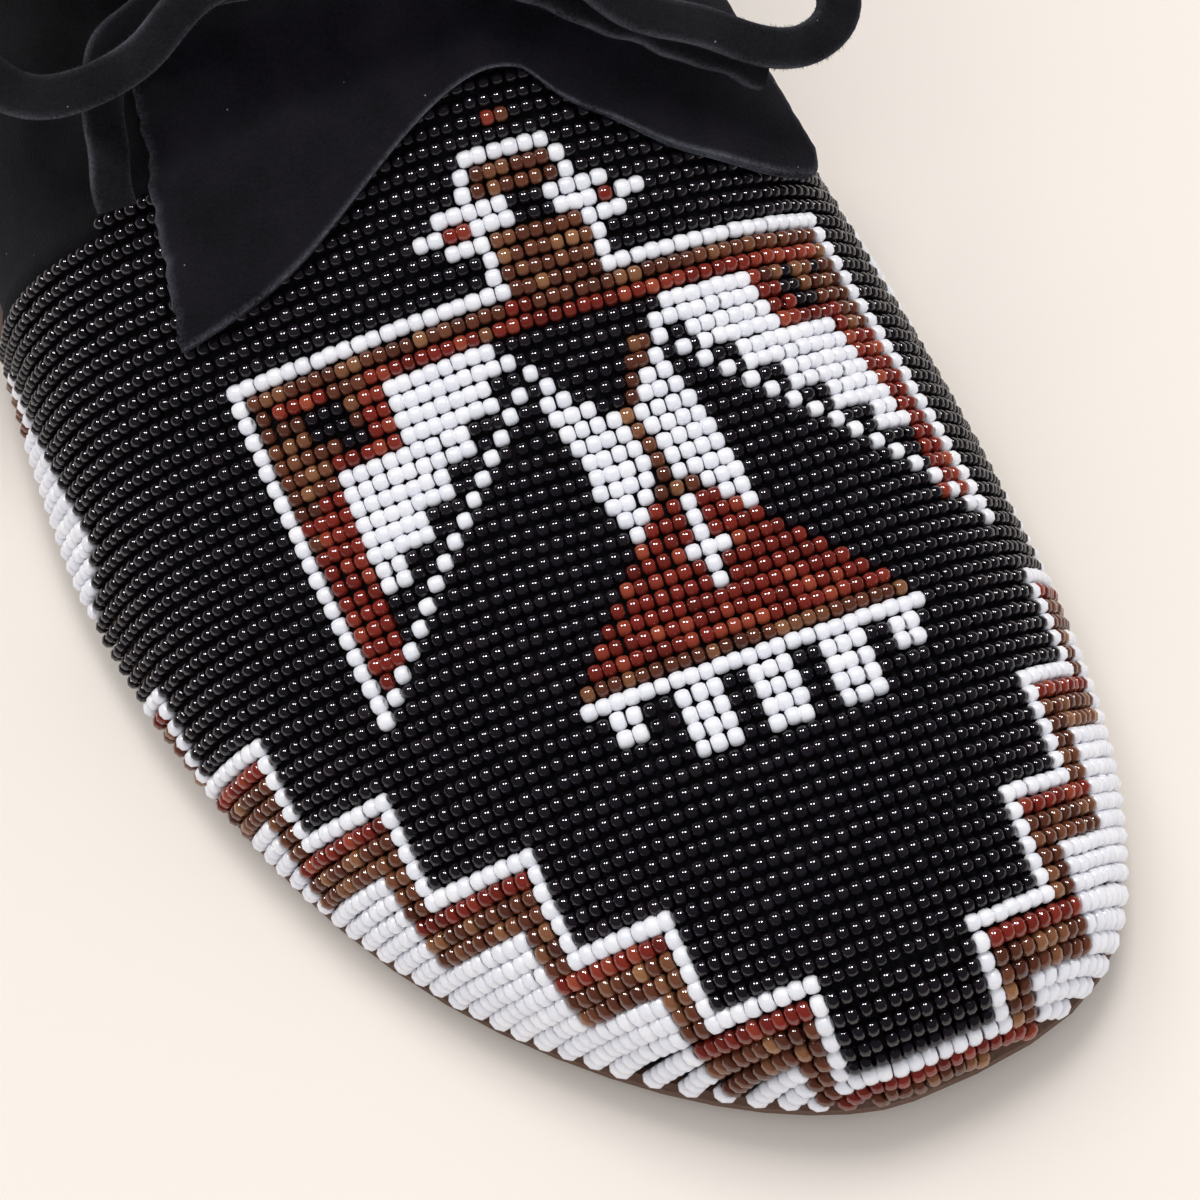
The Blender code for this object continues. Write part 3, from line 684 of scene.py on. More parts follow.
def row_line(row):
    """Middle of a bead row over the foot: its places, normals, lengths and reach."""
    a = np.linspace(0.0, 1.0, ROW_POINTS + 1)
    column = (a - 0.5) * ROW_COLUMNS
    for _ in range(2):
        sway = -ROW_SWAY * (row - SWAY_ROW) / 45 * np.tanh((column + 3) / 8)
        fan = BACK_FAN * max(0, row - FAN_ROW) * smooth((np.abs(column) - 12) / 30)
        wings = math.exp(-((row - WING_MIDDLE) / 7) ** 2)
        fan = fan + WING_FAN * wings * smooth((np.abs(column) - 4) / 14)
        reach = row_reach(row) + (sway + fan if row > SWAY_ROW else 0 * a)
        reach = np.maximum(reach, 0.0002)
        crown = along(np.interp(reach, RIDGE_REACH, RIDGE_STATIONS))
        base = SOLE_AT_REACH(reach)
        s = np.maximum(base + np.sin(math.pi * a) * (crown - base), 0.0)
        t = station_at(s)
        normal = outward(np.maximum(t, 0.004), np.clip(a, 0.002, 0.998))
        places = form(t, a)
        height = places[:, 2] - ground(places[:, 1]) - SOLE_TOP
        ball = np.exp(-((places[:, 1] - BALL_PLACE) / BALL_LENGTH) ** 2) * (a < 0.5)
        belly = (SIDE_BELLY + BALL_BELLY * ball) * np.exp(-(height / BELLY_HEIGHT) ** 2)
        places = places + normal * (BEAD_SEAT + belly)[:, None]
        run = run_along(places)
        run -= run[ROW_POINTS // 2]
        column = run / BEAD_WIDTH
    return places, normal, column, reach


def paint(runs, start, end, kind):
    """Lays a run of one colour over a row, between two columns."""
    if end <= start:
        return runs
    kept = []
    for first, last, old in runs:
        if first < start:
            kept.append((first, min(last, start), old))
        if last > end:
            kept.append((max(first, end), last, old))
    kept.append((start, end, kind))
    return sorted(kept)


# Stepped border: edges of the black field, outer side and inner side, six rows a step.
STEP_ROWS = 6
BORDER_ROW = 4
LINE_BROWN = 2.1           # columns that the lines along the steps take
LINE_RED = 1.0
LINE_WHITE = 1.05
OUTER_STEPS = (-5.1, -12.5, -19.6, -27.7, -35.3, -43.1)
INNER_STEPS = (7.6, 13.5, 18.8, 24.6, 30.4)


def border_runs(row, start, end):
    """The white field, the brown and red lines and the white line of the border."""
    runs = [(start, end, "black")]
    step = (row - BORDER_ROW) // STEP_ROWS
    above = {}
    for down in (3, 2, 1, 0):
        above[down] = (row + down - BORDER_ROW) // STEP_ROWS
    for steps, sign in ((OUTER_STEPS, -1), (INNER_STEPS, 1)):
        inner = [abs(edge) for edge in steps]
        far = abs(start if sign < 0 else end)

        def lay(first, last, kind):
            nonlocal runs
            if sign < 0:
                runs = paint(runs, max(-last, start), -first, kind)
            else:
                runs = paint(runs, first, min(last, end), kind)

        def edge(number):
            if number < 0:
                return 0.0
            return inner[number] if number < len(inner) else far + 9

        lay(edge(step), far, "white")
        for down, kind in ((3, "brown"), (2, "brown"), (1, "red")):
            if above[down] > step or row < BORDER_ROW:
                lay(edge(step), min(edge(above[down]) + LINE_BROWN, far), kind)
        lay(edge(step), min(edge(step) + LINE_BROWN, far), "brown")
        if above[1] > step:
            lay(edge(step), min(edge(above[1]) + LINE_RED, far), "red")
        if row >= BORDER_ROW:
            lay(edge(step) - LINE_WHITE, edge(step), "white")
            if (row - BORDER_ROW) % STEP_ROWS == 0:
                lay(edge(step - 1) - LINE_WHITE if step else 0.0, edge(step), "white")
    return runs


SIDE_ROWS = (47, 62)       # a low white hill at each side, down at the sole, brown at its end
HILL_FRONT = (1.5, 1.3)    # its height in columns at the first row, and how it goes on per row
HILL_BACK = (6.2, -0.24)
HILL_LINE = 1.1
# The bird: feathers of the tail as first and last column and how many rows they hang down.
TAIL_ROW = 28
FEATHERS = ((-10.4, -8.1, 2), (-5.8, -2.3, 4), (-0.5, 2.7, 4), (4.6, 8.0, 4), (9.7, 12.0, 2))
# Two white lobes of the body: outer and inner edge of the left one, then of the right one.
LOBES = {
    47: (-6.2, -5.1, 1.5, 2.6), 46: (-6.6, -4.5, 0.4, 2.9), 45: (-6.5, -3.1, -0.1, 3.1),
    44: (-6.2, -1.7, -0.8, 3.6), 43: (-5.7, -1.5, -0.5, 3.8), 42: (-5.5, -1.2, -0.1, 4.1),
    41: (-5.5, -1.0, 0.0, 4.3), 40: (-5.6, -1.2, 0.1, 4.4), 39: (-5.3, -1.7, 1.6, 4.7),
    38: (-4.75, -2.5, 2.5, 4.7), 37: (-4.4, -3.3, 3.7, 4.8),
}
# The head, upwards from the neck, with its two crests and their red eyes.
HEAD = {
    54: ((-7.4, -5.9, "white"), (-5.9, 0.65, "brown"), (0.65, 1.7, "white")),
    55: ((-6.9, -5.8, "white"), (-5.8, 0.8, "brown"), (0.8, 2.0, "white")),
    56: ((-9.25, -6.0, "white"), (-6.0, 0.6, "brown"), (0.6, 3.7, "white")),
    57: ((-11.1, -8.9, "white"), (-8.9, -7.0, "red"), (-7.0, -3.8, "white"), (-1.0, 2.0, "white"),
         (2.0, 3.4, "red"), (3.4, 5.5, "white")),
    58: ((-9.3, -4.0, "white"), (-1.4, 3.2, "white")),
    59: ((-7.4, -6.1, "white"), (-6.1, 0.05, "brown"), (0.05, 1.3, "white")),
    60: ((-6.9, -5.8, "white"), (-5.8, -0.1, "brown"), (-0.1, 0.9, "white")),
    61: ((-6.25, 0.2, "white"),),
    63: ((-3.7, -2.75, "red"), (-2.75, -1.8, "brown")),
}


WING_ROWS = (32, 53)
# outer and inner tip of the wings at the last row, and how they go on with each row before it
WING_OUTER = (-27.0, 0.085)
WING_INNER = (18.8, 0.19)
NECK = (-5.8, 0.7)
# middle of each wing's quill at its root, how it goes on, half its width and its first row
QUILL_ROOT = 48
QUILLS = ((-6.5, -1.127, 0.58, 33), (2.85, 1.2, 0.6, 34))


def wing_runs(runs, row):
    """One row of both wings, a white outline round red and brown, and stepped feathers."""
    down = WING_ROWS[1] - row
    outer = WING_OUTER[0] + WING_OUTER[1] * down
    inner = WING_INNER[0] + WING_INNER[1] * down
    if row == WING_ROWS[1]:
        for first, last in ((-26.8, NECK[0]), (NECK[1], 18.8)):
            runs = paint(runs, first, last, "white")
        return paint(runs, *NECK, "brown")
    if row == 52:
        runs = paint(runs, outer, inner, "brown")
        runs = paint(runs, -6.6, -4.6, "red")
    elif row == 51:
        runs = paint(runs, outer, inner, "red")
        for first, last in ((outer, -24.2), (-20.1, -17.3), (-8.8, -7.9), (17.0, inner)):
            runs = paint(runs, first, last, "brown")
    elif row >= 47:
        runs = paint(runs, outer, -16.3, "brown")
        runs = paint(runs, 10.8, inner, "brown")
        dark = {50: (-22.2, -19.3), 49: (-22.2, -19.2), 48: (-20.3, -18.3)}.get(row)
        spots = {50: ((13.0, 14.0), (15.8, 16.7)), 49: ((12.4, 14.3),), 48: ((13.4, 15.2),)}.get(row, ())
        runs = paint(runs, -21.5 if row == 47 else -18.2, -16.3, "red")
        runs = paint(runs, 10.5, {50: 11.4, 49: 12.4, 48: 13.4, 47: 16.8}[row], "red")
        for first, last in ((dark,) if dark else ()) + spots:
            runs = paint(runs, first, last, "black")
    elif row >= 34:
        edge = 15.6 + 0.4 * (46 - row) if row > 39 else 18.3
        runs = paint(runs, outer, -23.3 if row == 45 else -21.4, "brown" if row > 44 else "red")
        runs = paint(runs, edge, inner, "red")
        if row == 46:
            runs = paint(runs, 17.0, inner, "brown")
        if row == 45:
            runs = paint(runs, -23.3, -21.4, "red")
        if row in (43, 34):
            runs = paint(runs, -25.0, -24.2, "brown")
    feathers = (48 - row) // 2
    if 47 <= row <= 50:
        runs = paint(runs, -16.3, {50: -8.3, 49: -7.2, 48: -9.3, 47: -9.3}[row], "white")
        runs = paint(runs, {50: 3.6, 49: 2.4, 48: 4.7, 47: 5.2}[row], 10.4 + 0.3 * (50 - row), "white")
    elif 39 <= row <= 46:
        runs = paint(runs, -21.4, -9.3 - 2.43 * feathers, "white")
        runs = paint(runs, 5.0 + 2.62 * feathers, 15.6 + 0.4 * (46 - row), "white")
    for root, slant, half, first_row in QUILLS:
        if first_row <= row <= QUILL_ROOT:
            quill = root + slant * (QUILL_ROOT - row)
            runs = paint(runs, quill - half, quill + half, "white")
    outline = 2.5 if row == WING_ROWS[0] + 1 else 1.2
    runs = paint(runs, outer, outer + outline, "white")
    return paint(runs, inner - outline, inner, "white")


# The red kite below the body: both edges at its first row, and how they go on; then the white
# arrow in it, and its wide row.
KITE_ROWS = (30, 39)
KITE_OUTER = (-10.5, 1.0)
KITE_INNER = (11.3, -1.08)
ARROW_ROWS = (33, 38)
ARROW = (-0.25, 0.85)
ARROW_HEAD = (-1.25, 2.0)
ARROW_HEAD_ROW = 35
BODY_ROWS = (39, 44)       # brown between the lobes
SPECKS = {45: -1.0, 46: -0.5, 47: 0.0, 48: 0.5}    # one brown bead above it, by row


def bird_runs(runs, row):
    """The thunderbird: tail, red kite and arrow, wings, lobes of the body and head."""
    hang = TAIL_ROW - row
    for first, last, rows in FEATHERS:
        if 0 < hang <= rows:
            runs = paint(runs, first, last, "white")
    if row == TAIL_ROW:
        runs = paint(runs, -11.9, 13.0, "white")
    if row == TAIL_ROW + 1:
        runs = paint(runs, -11.5, 12.2, "brown")
    if WING_ROWS[0] <= row <= WING_ROWS[1]:
        runs = wing_runs(runs, row)
    if KITE_ROWS[0] <= row <= KITE_ROWS[1]:
        up = row - KITE_ROWS[0]
        runs = paint(runs, KITE_OUTER[0] + KITE_OUTER[1] * up, KITE_INNER[0] + KITE_INNER[1] * up, "red")
    if ARROW_ROWS[0] <= row <= ARROW_ROWS[1]:
        runs = paint(runs, *(ARROW_HEAD if row == ARROW_HEAD_ROW else ARROW), "white")
    if row in LOBES:
        first, last, start, end = LOBES[row]
        runs = paint(runs, first, last, "white")
        runs = paint(runs, start, end, "white")
        if BODY_ROWS[0] <= row <= BODY_ROWS[1]:
            runs = paint(runs, last, start, "brown")
    if row in SPECKS:
        end = SPECKS[row] + 1.5
        runs = paint(runs, SPECKS[row], min(end, LOBES[row][2]) if row in LOBES else end, "brown")
    for first, last, kind in HEAD.get(row, ()):
        runs = paint(runs, first, last, kind)
    return runs


def kinds_in_row(row, column):
    """The row's beads: the column of each and its colour."""
    start, end = column[0], column[-1]
    runs = bird_runs(border_runs(row, start, end), row)
    if SIDE_ROWS[0] <= row <= SIDE_ROWS[1]:
        rise = min(first + more * (row - SIDE_ROWS[0]) for first, more in (HILL_FRONT, HILL_BACK))
        runs = paint(runs, start, start + rise, "white")
        runs = paint(runs, end - rise, end, "white")
        if row > SIDE_ROWS[1] - 4:
            runs = paint(runs, start, start + rise - HILL_LINE, "brown")
            runs = paint(runs, end - rise + HILL_LINE, end, "brown")
    beads = []
    for first, last, kind in runs:
        if last - first < 0.3:
            continue
        count = max(1, round((last - first) / BEAD_KINDS[kind][2]))
        for k in range(count):
            beads.append((first + (last - first) * (k + 0.5) / count, kind))
    return beads


def bead_places():
    """Place, turn and size of every bead, listed by colour."""
    chance = np.random.default_rng(7)
    found = {kind: [] for kind in BEAD_KINDS}
    for row in range(FIRST_ROW, LAST_ROW + 1):
        places, normal, column, reach = row_line(row)
        spacing = np.linalg.norm(row_line(row + 1)[0] - places, axis=1)
        high = places[:, 2] > ground(places[:, 1]) + SOLE_TOP + 0.0008
        span = column[high]
        for spot, kind in kinds_in_row(row, span):
            far = float(np.interp(spot, column, reach))
            if far > BEADWORK_REACH:
                continue
            length, thick, _ = BEAD_KINDS[kind]
            room = float(np.interp(spot, column, spacing))
            across = thick * min(max(room / THICK_SPACING, SLIMMEST), WIDEST)
            thick *= min(max(room / THICK_SPACING, SLIMMEST), THICKEST)
            spot += chance.normal(0, LOOSE_ALONG)
            here = at_run(spot, column, places)
            out = at_run(spot, column, normal)
            ahead = at_run(spot + 0.3, column, places) - here
            ahead /= max(np.linalg.norm(ahead), 1e-9)
            out -= ahead * (out @ ahead)
            out /= np.linalg.norm(out)
            aside = np.cross(out, ahead)
            here = here + out * chance.normal(0, LOOSE_OUT) + aside * chance.normal(0, LOOSE_ASIDE)
            turn = Matrix([placed(v) - placed((0, 0, 0)) for v in (ahead, aside, out)]).transposed()
            yaw = Matrix.Rotation(chance.normal(0, LOOSE_YAW), 3, "Z")
            pitch = Matrix.Rotation(chance.normal(0, LOOSE_PITCH), 3, "Y")
            euler = (turn @ yaw @ pitch).to_euler()
            size = tuple(side * chance.normal(1, uneven)
                         for side, uneven in zip((length, across, thick), UNEVEN_BEADS))
            drift = 0.5 + 0.5 * math.sin(spot * 0.9 + row * 1.7) * math.sin(spot * 0.37 - row * 0.61)
            shade = min(1.0, 0.65 * chance.random() ** 1.4 + 0.45 * drift)
            found[kind].append((placed(here), tuple(euler), size, shade))
    return found


def bead_mesh(around=8, hole=0.20):
    """One seed bead of length and thickness 1: a barrel with rounded ends and a hole."""
    rounding = ((-0.455, 0.35), (-0.29, 0.46), (0.0, 0.50), (0.29, 0.46), (0.455, 0.35))
    profile = ((-0.50, hole), *rounding, (0.50, hole))
    mesh = bpy.data.meshes.new("bead")
    points = []
    for turn in range(around):
        angle = 2 * math.pi * turn / around
        for x, radius in profile:
            points.append((x, radius * math.cos(angle), radius * math.sin(angle)))
    faces = []
    size = len(profile)
    for turn in range(around):
        after = (turn + 1) % around
        for k in range(size):
            n = (k + 1) % size
            faces.append((turn * size + k, turn * size + n, after * size + n, after * size + k))
    mesh.from_pydata(points, [], faces)
    mesh.update()
    bm = bmesh.new()
    bm.from_mesh(mesh)
    bmesh.ops.recalc_face_normals(bm, faces=bm.faces)
    bm.to_mesh(mesh)
    bm.free()
    mesh.shade_smooth()
    return mesh


def bead_tree():
    """Sets a bead on every point, with the point's turn and size, and dyes it."""
    tree = bpy.data.node_groups.new("sewn_beads", "GeometryNodeTree")
    for label, kind in (("Stitches", "Geometry"), ("Bead", "Object"), ("Glass", "Material")):
        tree.interface.new_socket(name=label, in_out="INPUT", socket_type="NodeSocket" + kind)
    scale = tree.interface.new_socket(name="Bead Scale", in_out="INPUT", socket_type="NodeSocketFloat")
    scale.default_value = 1.0
    tree.interface.new_socket(name="Beads", in_out="OUTPUT", socket_type="NodeSocketGeometry")
    given = tree.nodes.new("NodeGroupInput")
    out = tree.nodes.new("NodeGroupOutput")
    bead = tree.nodes.new("GeometryNodeObjectInfo")
    tree.links.new(given.outputs["Bead"], bead.inputs["Object"])
    turn = tree.nodes.new("GeometryNodeInputNamedAttribute")
    turn.data_type = "FLOAT_VECTOR"
    turn.inputs["Name"].default_value = "bead_turn"
    size = tree.nodes.new("GeometryNodeInputNamedAttribute")
    size.data_type = "FLOAT_VECTOR"
    size.inputs["Name"].default_value = "bead_size"
    grow = tree.nodes.new("ShaderNodeVectorMath")
    grow.operation = "SCALE"
    tree.links.new(size.outputs["Attribute"], grow.inputs[0])
    tree.links.new(given.outputs["Bead Scale"], grow.inputs["Scale"])
    spread = tree.nodes.new("GeometryNodeInstanceOnPoints")
    tree.links.new(given.outputs["Stitches"], spread.inputs["Points"])
    tree.links.new(bead.outputs["Geometry"], spread.inputs["Instance"])
    tree.links.new(turn.outputs["Attribute"], spread.inputs["Rotation"])
    tree.links.new(grow.outputs[0], spread.inputs["Scale"])
    real = tree.nodes.new("GeometryNodeRealizeInstances")
    tree.links.new(spread.outputs["Instances"], real.inputs["Geometry"])
    dye = tree.nodes.new("GeometryNodeSetMaterial")
    tree.links.new(real.outputs["Geometry"], dye.inputs["Geometry"])
    tree.links.new(given.outputs["Glass"], dye.inputs["Material"])
    tree.links.new(dye.outputs["Geometry"], out.inputs["Beads"])
    return tree


def sew_on(name, beads, shape, glass):
    """Beads or stitches of one colour as one plain mesh, from points by way of the node tree."""
    stitches = bpy.data.meshes.new(name)
    stitches.from_pydata([tuple(place) for place, _, _, _ in beads], [], [])
    for label, kind, column in (("bead_turn", "FLOAT_VECTOR", 1), ("bead_size", "FLOAT_VECTOR", 2)):
        values = stitches.attributes.new(label, kind, "POINT")
        values.data.foreach_set("vector", np.array([bead[column] for bead in beads], np.float32).ravel())
    shade = stitches.attributes.new("bead_shade", "FLOAT", "POINT")
    shade.data.foreach_set("value", np.array([bead[3] for bead in beads], np.float32))
    carrier = bpy.data.objects.new(name, stitches)
    bpy.context.scene.collection.objects.link(carrier)
    modifier = carrier.modifiers.new("beads", "NODES")
    modifier.node_group = BEAD_TREE
    items = BEAD_TREE.interface.items_tree
    sockets = {item.name: item.identifier for item in items if item.in_out == "INPUT"}
    modifier[sockets["Bead"]] = shape
    modifier[sockets["Glass"]] = glass
    modifier[sockets["Bead Scale"]] = 1.0
    bpy.context.view_layer.update()
    shown = carrier.evaluated_get(bpy.context.evaluated_depsgraph_get())
    mesh = bpy.data.meshes.new_from_object(shown)
    carrier.modifiers.remove(modifier)
    bpy.data.objects.remove(carrier)
    mesh.name = name
    for label in ("bead_turn", "bead_size"):
        if label in mesh.attributes:
            mesh.attributes.remove(mesh.attributes[label])
    piece = bpy.data.objects.new(name, mesh)
    bpy.context.scene.collection.objects.link(piece)
    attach(piece, "root")
    return piece


# dark, middle and light beads of each colour, roughness, coat and refraction
GLASS = {
    "white": ((0.82, 0.82, 0.88), (0.88, 0.88, 0.93), (0.93, 0.92, 0.95), 0.32, 0.25, 1.50),
    "black": ((0.0065, 0.0048, 0.0080), (0.0085, 0.0062, 0.0102), (0.015, 0.011, 0.015), 0.05, 0.0, 1.52),
    "brown": ((0.066, 0.019, 0.011), (0.130, 0.038, 0.019), (0.30, 0.135, 0.060), 0.08, 0.4, 1.50),
    "red": ((0.105, 0.011, 0.007), (0.205, 0.020, 0.012), (0.35, 0.070, 0.033), 0.08, 0.4, 1.50),
}


def bead_glass(name, dark, middle, light, roughness, coat, ior):
    """Glass of one colour, each bead a little different."""
    material, tree, shader = new_material(name, roughness)
    shader.inputs["Coat Weight"].default_value = coat
    shader.inputs["Coat Roughness"].default_value = 0.04
    shade = tree.nodes.new("ShaderNodeAttribute")
    shade.attribute_name = "bead_shade"
    ramp = tree.nodes.new("ShaderNodeValToRGB")
    ramp.color_ramp.elements[0].color = (*dark, 1)
    ramp.color_ramp.elements[1].color = (*light, 1)
    ramp.color_ramp.elements.new(0.6).color = (*middle, 1)
    tree.links.new(shade.outputs["Fac"], ramp.inputs["Fac"])
    tree.links.new(ramp.outputs["Color"], shader.inputs["Base Color"])
    shader.inputs["IOR"].default_value = ior
    return material


BEAD_TREE = bead_tree()
BEAD_SHAPE = bpy.data.objects.new("bead", bead_mesh())
bpy.context.scene.collection.objects.link(BEAD_SHAPE)
for kind, beads in bead_places().items():
    glass = bead_glass(kind + "_glass", *GLASS[kind])
    parts = math.ceil(len(beads) / BEADS_A_PIECE)
    for part in range(parts):
        share = beads[part * len(beads) // parts:(part + 1) * len(beads) // parts]
        sew_on(f"beads_{kind}_{part + 1}", share, BEAD_SHAPE, glass)
bpy.data.objects.remove(BEAD_SHAPE)


# Tongue
# Black suede, turned down over the end of the beadwork and cut to a fork of two points. It
# is sewn in at the throat, under the cuff. Its cut edges are painted paler, for their pale
# fibres and as a painted highlight, and shed fine fibres that are painted lighter than the
# suede as a highlight.
TONGUE_THICKNESS = 0.0013
TONGUE_ROOT = 0.5288 * LENGTH
TONGUE_REACH = 0.0345
TONGUE_STAND = 0.0015
RAGGED_CUT = 0.0006        # waver of the sides, as a share of the way over the foot
TONGUE_GAP = 0.00045
TONGUE_COLUMNS = 140
BEAD_LIFT = 0.0017         # where it lies on the beads, and their end under it
BEADS_END = 0.0045
BEADS_SLOPE = 0.0040
SIDE_RIM = 0.007           # bands of the paler cut edges, with their painted highlight, as shares of the way over and of the way down
FORK_RIM = 0.013
# the front edge from its outer to its inner side: place across, and reach as a share
FORK = (
    (0.00, 0.96), (0.09, 0.95), (0.17, 0.90), (0.26, 0.775), (0.34, 0.65), (0.39, 0.595), (0.43, 0.60),
    (0.48, 0.715), (0.56, 0.835), (0.65, 0.955), (0.75, 1.03), (0.86, 1.09), (0.94, 1.105), (0.98, 1.07),
    (1.00, 1.00),
)
TONGUE_AT_ROOT = (0.311, 0.790)
TONGUE_AT_FORK = (0.272, 0.790)
FORK_EDGE = natural_spline([row[0] for row in FORK], [row[1] for row in FORK])


def sheet_faces(rows, columns):
    """Faces of a sheet with two sides and a rim, both sides listed row by row."""
    width = columns + 1
    back = (rows + 1) * width
    faces = []
    for i in range(rows):
        for j in range(columns):
            quad = (i * width + j, (i + 1) * width + j, (i + 1) * width + j + 1, i * width + j + 1)
            faces.append(quad)
            faces.append(tuple(back + n for n in reversed(quad)))
    ring = list(range(width))
    ring += [i * width + columns for i in range(1, rows + 1)]
    ring += [rows * width + j for j in range(columns - 1, -1, -1)]
    ring += [i * width for i in range(rows - 1, 0, -1)]
    for n, corner in enumerate(ring):
        after = ring[(n + 1) % len(ring)]
        faces.append((corner, after, back + after, back + corner))
    return faces


def make_tongue(rows=90, columns=TONGUE_COLUMNS):
    across = np.linspace(0, 1, columns + 1)[None, :]
    down = np.linspace(0, 1, rows + 1)[:, None]
    outer = TONGUE_AT_ROOT[0] + (TONGUE_AT_FORK[0] - TONGUE_AT_ROOT[0]) * down
    inner = TONGUE_AT_ROOT[1] + (TONGUE_AT_FORK[1] - TONGUE_AT_ROOT[1]) * down
    ragged = np.sin(down * 37) + np.sin(down * 71 + 1) + np.sin(down * 113 + 2)
    outer = outer + RAGGED_CUT * ragged
    inner = inner + RAGGED_CUT * ragged[::-1]
    a = outer + (inner - outer) * across
    s = TONGUE_ROOT - TONGUE_REACH * FORK_EDGE(across) * down
    stand = TONGUE_STAND * np.maximum(0.0, (across - 0.75) / 0.25) ** 2 * down
    behind = s - vamp_edge(np.sin(math.pi * a))
    beads = BEAD_LIFT * smooth((BEADS_END - behind) / BEADS_SLOPE)
    points = []
    for side in (0.0, TONGUE_THICKNESS):
        points += list(skin(station_at(s), a, beads + TONGUE_GAP + stand + side).reshape(-1, 3))
    # The fork fully and the sides in part are painted paler towards the edge: pale cut fibres and a painted
    # highlight.
    side_rim = 0.6 * np.exp(-(np.minimum(across, 1 - across) / SIDE_RIM) ** 2)
    rim = np.maximum(np.exp(-((1 - down) / FORK_RIM) ** 2) + 0 * across, side_rim)
    return points, sheet_faces(rows, columns), list(rim.ravel()) * 2


FIBRE_RADIUS = 0.00005
FIBRE_ROOT = 0.0002        # how deep it sits in the edge
FIBRE_SCATTER = 0.00009
FIBRE_LEAN = 0.5
# The loose fibres are coloured lighter than the suede they come from, a painted highlight for the light
# that thin fibres catch.
FIBRE_SUEDE = suede("loose_fibres", (0.012, 0.012, 0.015), (0.040, 0.041, 0.050), 0.1)


def fibres_along(name, line, out, slot, pitch, reach, seed):
    """Loose fibres of a cut edge, each a thin spike that leans out from the edge."""
    chance = np.random.default_rng(seed)
    run = run_along(line)
    points = []
    faces = []
    for _ in range(int(run[-1] / pitch)):
        spot = chance.uniform(0, run[-1])
        root = at_run(spot, run, line) + chance.normal(0, FIBRE_SCATTER, 3)
        lean = at_run(spot, run, out)
        lean /= np.linalg.norm(lean)
        root -= lean * FIBRE_ROOT
        lean = lean + chance.normal(0, FIBRE_LEAN, 3)
        lean /= np.linalg.norm(lean)
        tip = root + lean * reach * chance.uniform(0.35, 1.0)
        side = np.cross(lean, (0.3, 0.5, 0.8))
        side *= FIBRE_RADIUS / np.linalg.norm(side)
        other = np.cross(lean, side)
        first = len(points)
        points += [root + side, root - 0.5 * side + 0.87 * other, root - 0.5 * side - 0.87 * other, tip]
        faces += [(first, first + 1, first + 3), (first + 1, first + 2, first + 3),
                  (first + 2, first, first + 3), (first, first + 2, first + 1)]
    return add_piece(name, points, faces, FIBRE_SUEDE, slot)


TONGUE_FIBRE_PITCH = 0.00006
TONGUE_SUEDE = suede("tongue_suede", (0.0031, 0.0026, 0.0042), (0.0118, 0.0100, 0.0150))
tongue_points, tongue_faces, tongue_pale_lit_edge = make_tongue()
tongue = add_piece("tongue_leather", tongue_points, tongue_faces, TONGUE_SUEDE, "tongue_suede",
                   pale_lit_edge=tongue_pale_lit_edge)
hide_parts("tongue")
tongue_grid = np.array(tongue_points).reshape(2, -1, TONGUE_COLUMNS + 1, 3).mean(0)
fork_line = tongue_grid[-1]
fibres_along("tongue_fibres", fork_line, fork_line - tongue_grid[-3], "tongue_suede",
             TONGUE_FIBRE_PITCH, 0.00062, 11)
for label, edge, within in (("outer", 0, 2), ("inner", -1, -3)):
    side_line = tongue_grid[:, edge]
    fibres_along("tongue_side_" + label, side_line, side_line - tongue_grid[:, within], "tongue_suede",
                 TONGUE_FIBRE_PITCH, 0.00066, 12)


# Cuff and thong
# The cuff is a long strip of thin black suede wound once round the ankle, its end lapped
# over the front. A flat suede thong holds it, tied over the instep.
def copied(node, name, material, levels):
    """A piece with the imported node's form, its facets merged and made fine."""
    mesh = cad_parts[node].data.copy()
    bm = bmesh.new()
    bm.from_mesh(mesh)
    bmesh.ops.remove_doubles(bm, verts=bm.verts, dist=1e-6)
    bmesh.ops.join_triangles(bm, faces=bm.faces, angle_face_threshold=0.7, angle_shape_threshold=0.9)
    crease = bm.edges.layers.float.new("crease_edge")
    for item in bm.edges:
        if len(item.link_faces) == 2 and item.calc_face_angle() > math.radians(55):
            item[crease] = 0.85
    bm.to_mesh(mesh)
    bm.free()
    mesh.name = name
    mesh.materials.clear()
    mesh.materials.append(material)
    mesh.shade_smooth()
    piece = bpy.data.objects.new(name, mesh)
    bpy.context.scene.collection.objects.link(piece)
    fine = piece.modifiers.new("fine", "SUBSURF")
    fine.levels = levels
    fine.render_levels = levels
    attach(piece, "root")
    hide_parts(node)
    return piece


CUFF_SUEDE = suede("cuff_suede", (0.004, 0.004, 0.005), (0.014, 0.0135, 0.016))
THONG_SUEDE = suede("thong_suede", (0.0035, 0.0034, 0.0044), (0.0125, 0.0120, 0.0145))
cuff = copied("cuff", "cuff_leather", CUFF_SUEDE, 2)
copied("thong", "thong_leather", THONG_SUEDE, 2)
copied("lace_knot", "bow_knot", THONG_SUEDE, 2)


# Ankle band
# A strip of the same suede, sewn between the upper's top edge and the inside of the cuff,
# which closes the gap that the wide cuff leaves at the sides of the ankle.
BAND_START = 0.60          # station where it begins, at both sides
BAND_END = 0.9995          # and where the sides meet at the heel
BAND_DEPTH = 0.0014
BAND_SINK = 0.0005         # into the leather on either side
BAND_WIDEST = 0.012


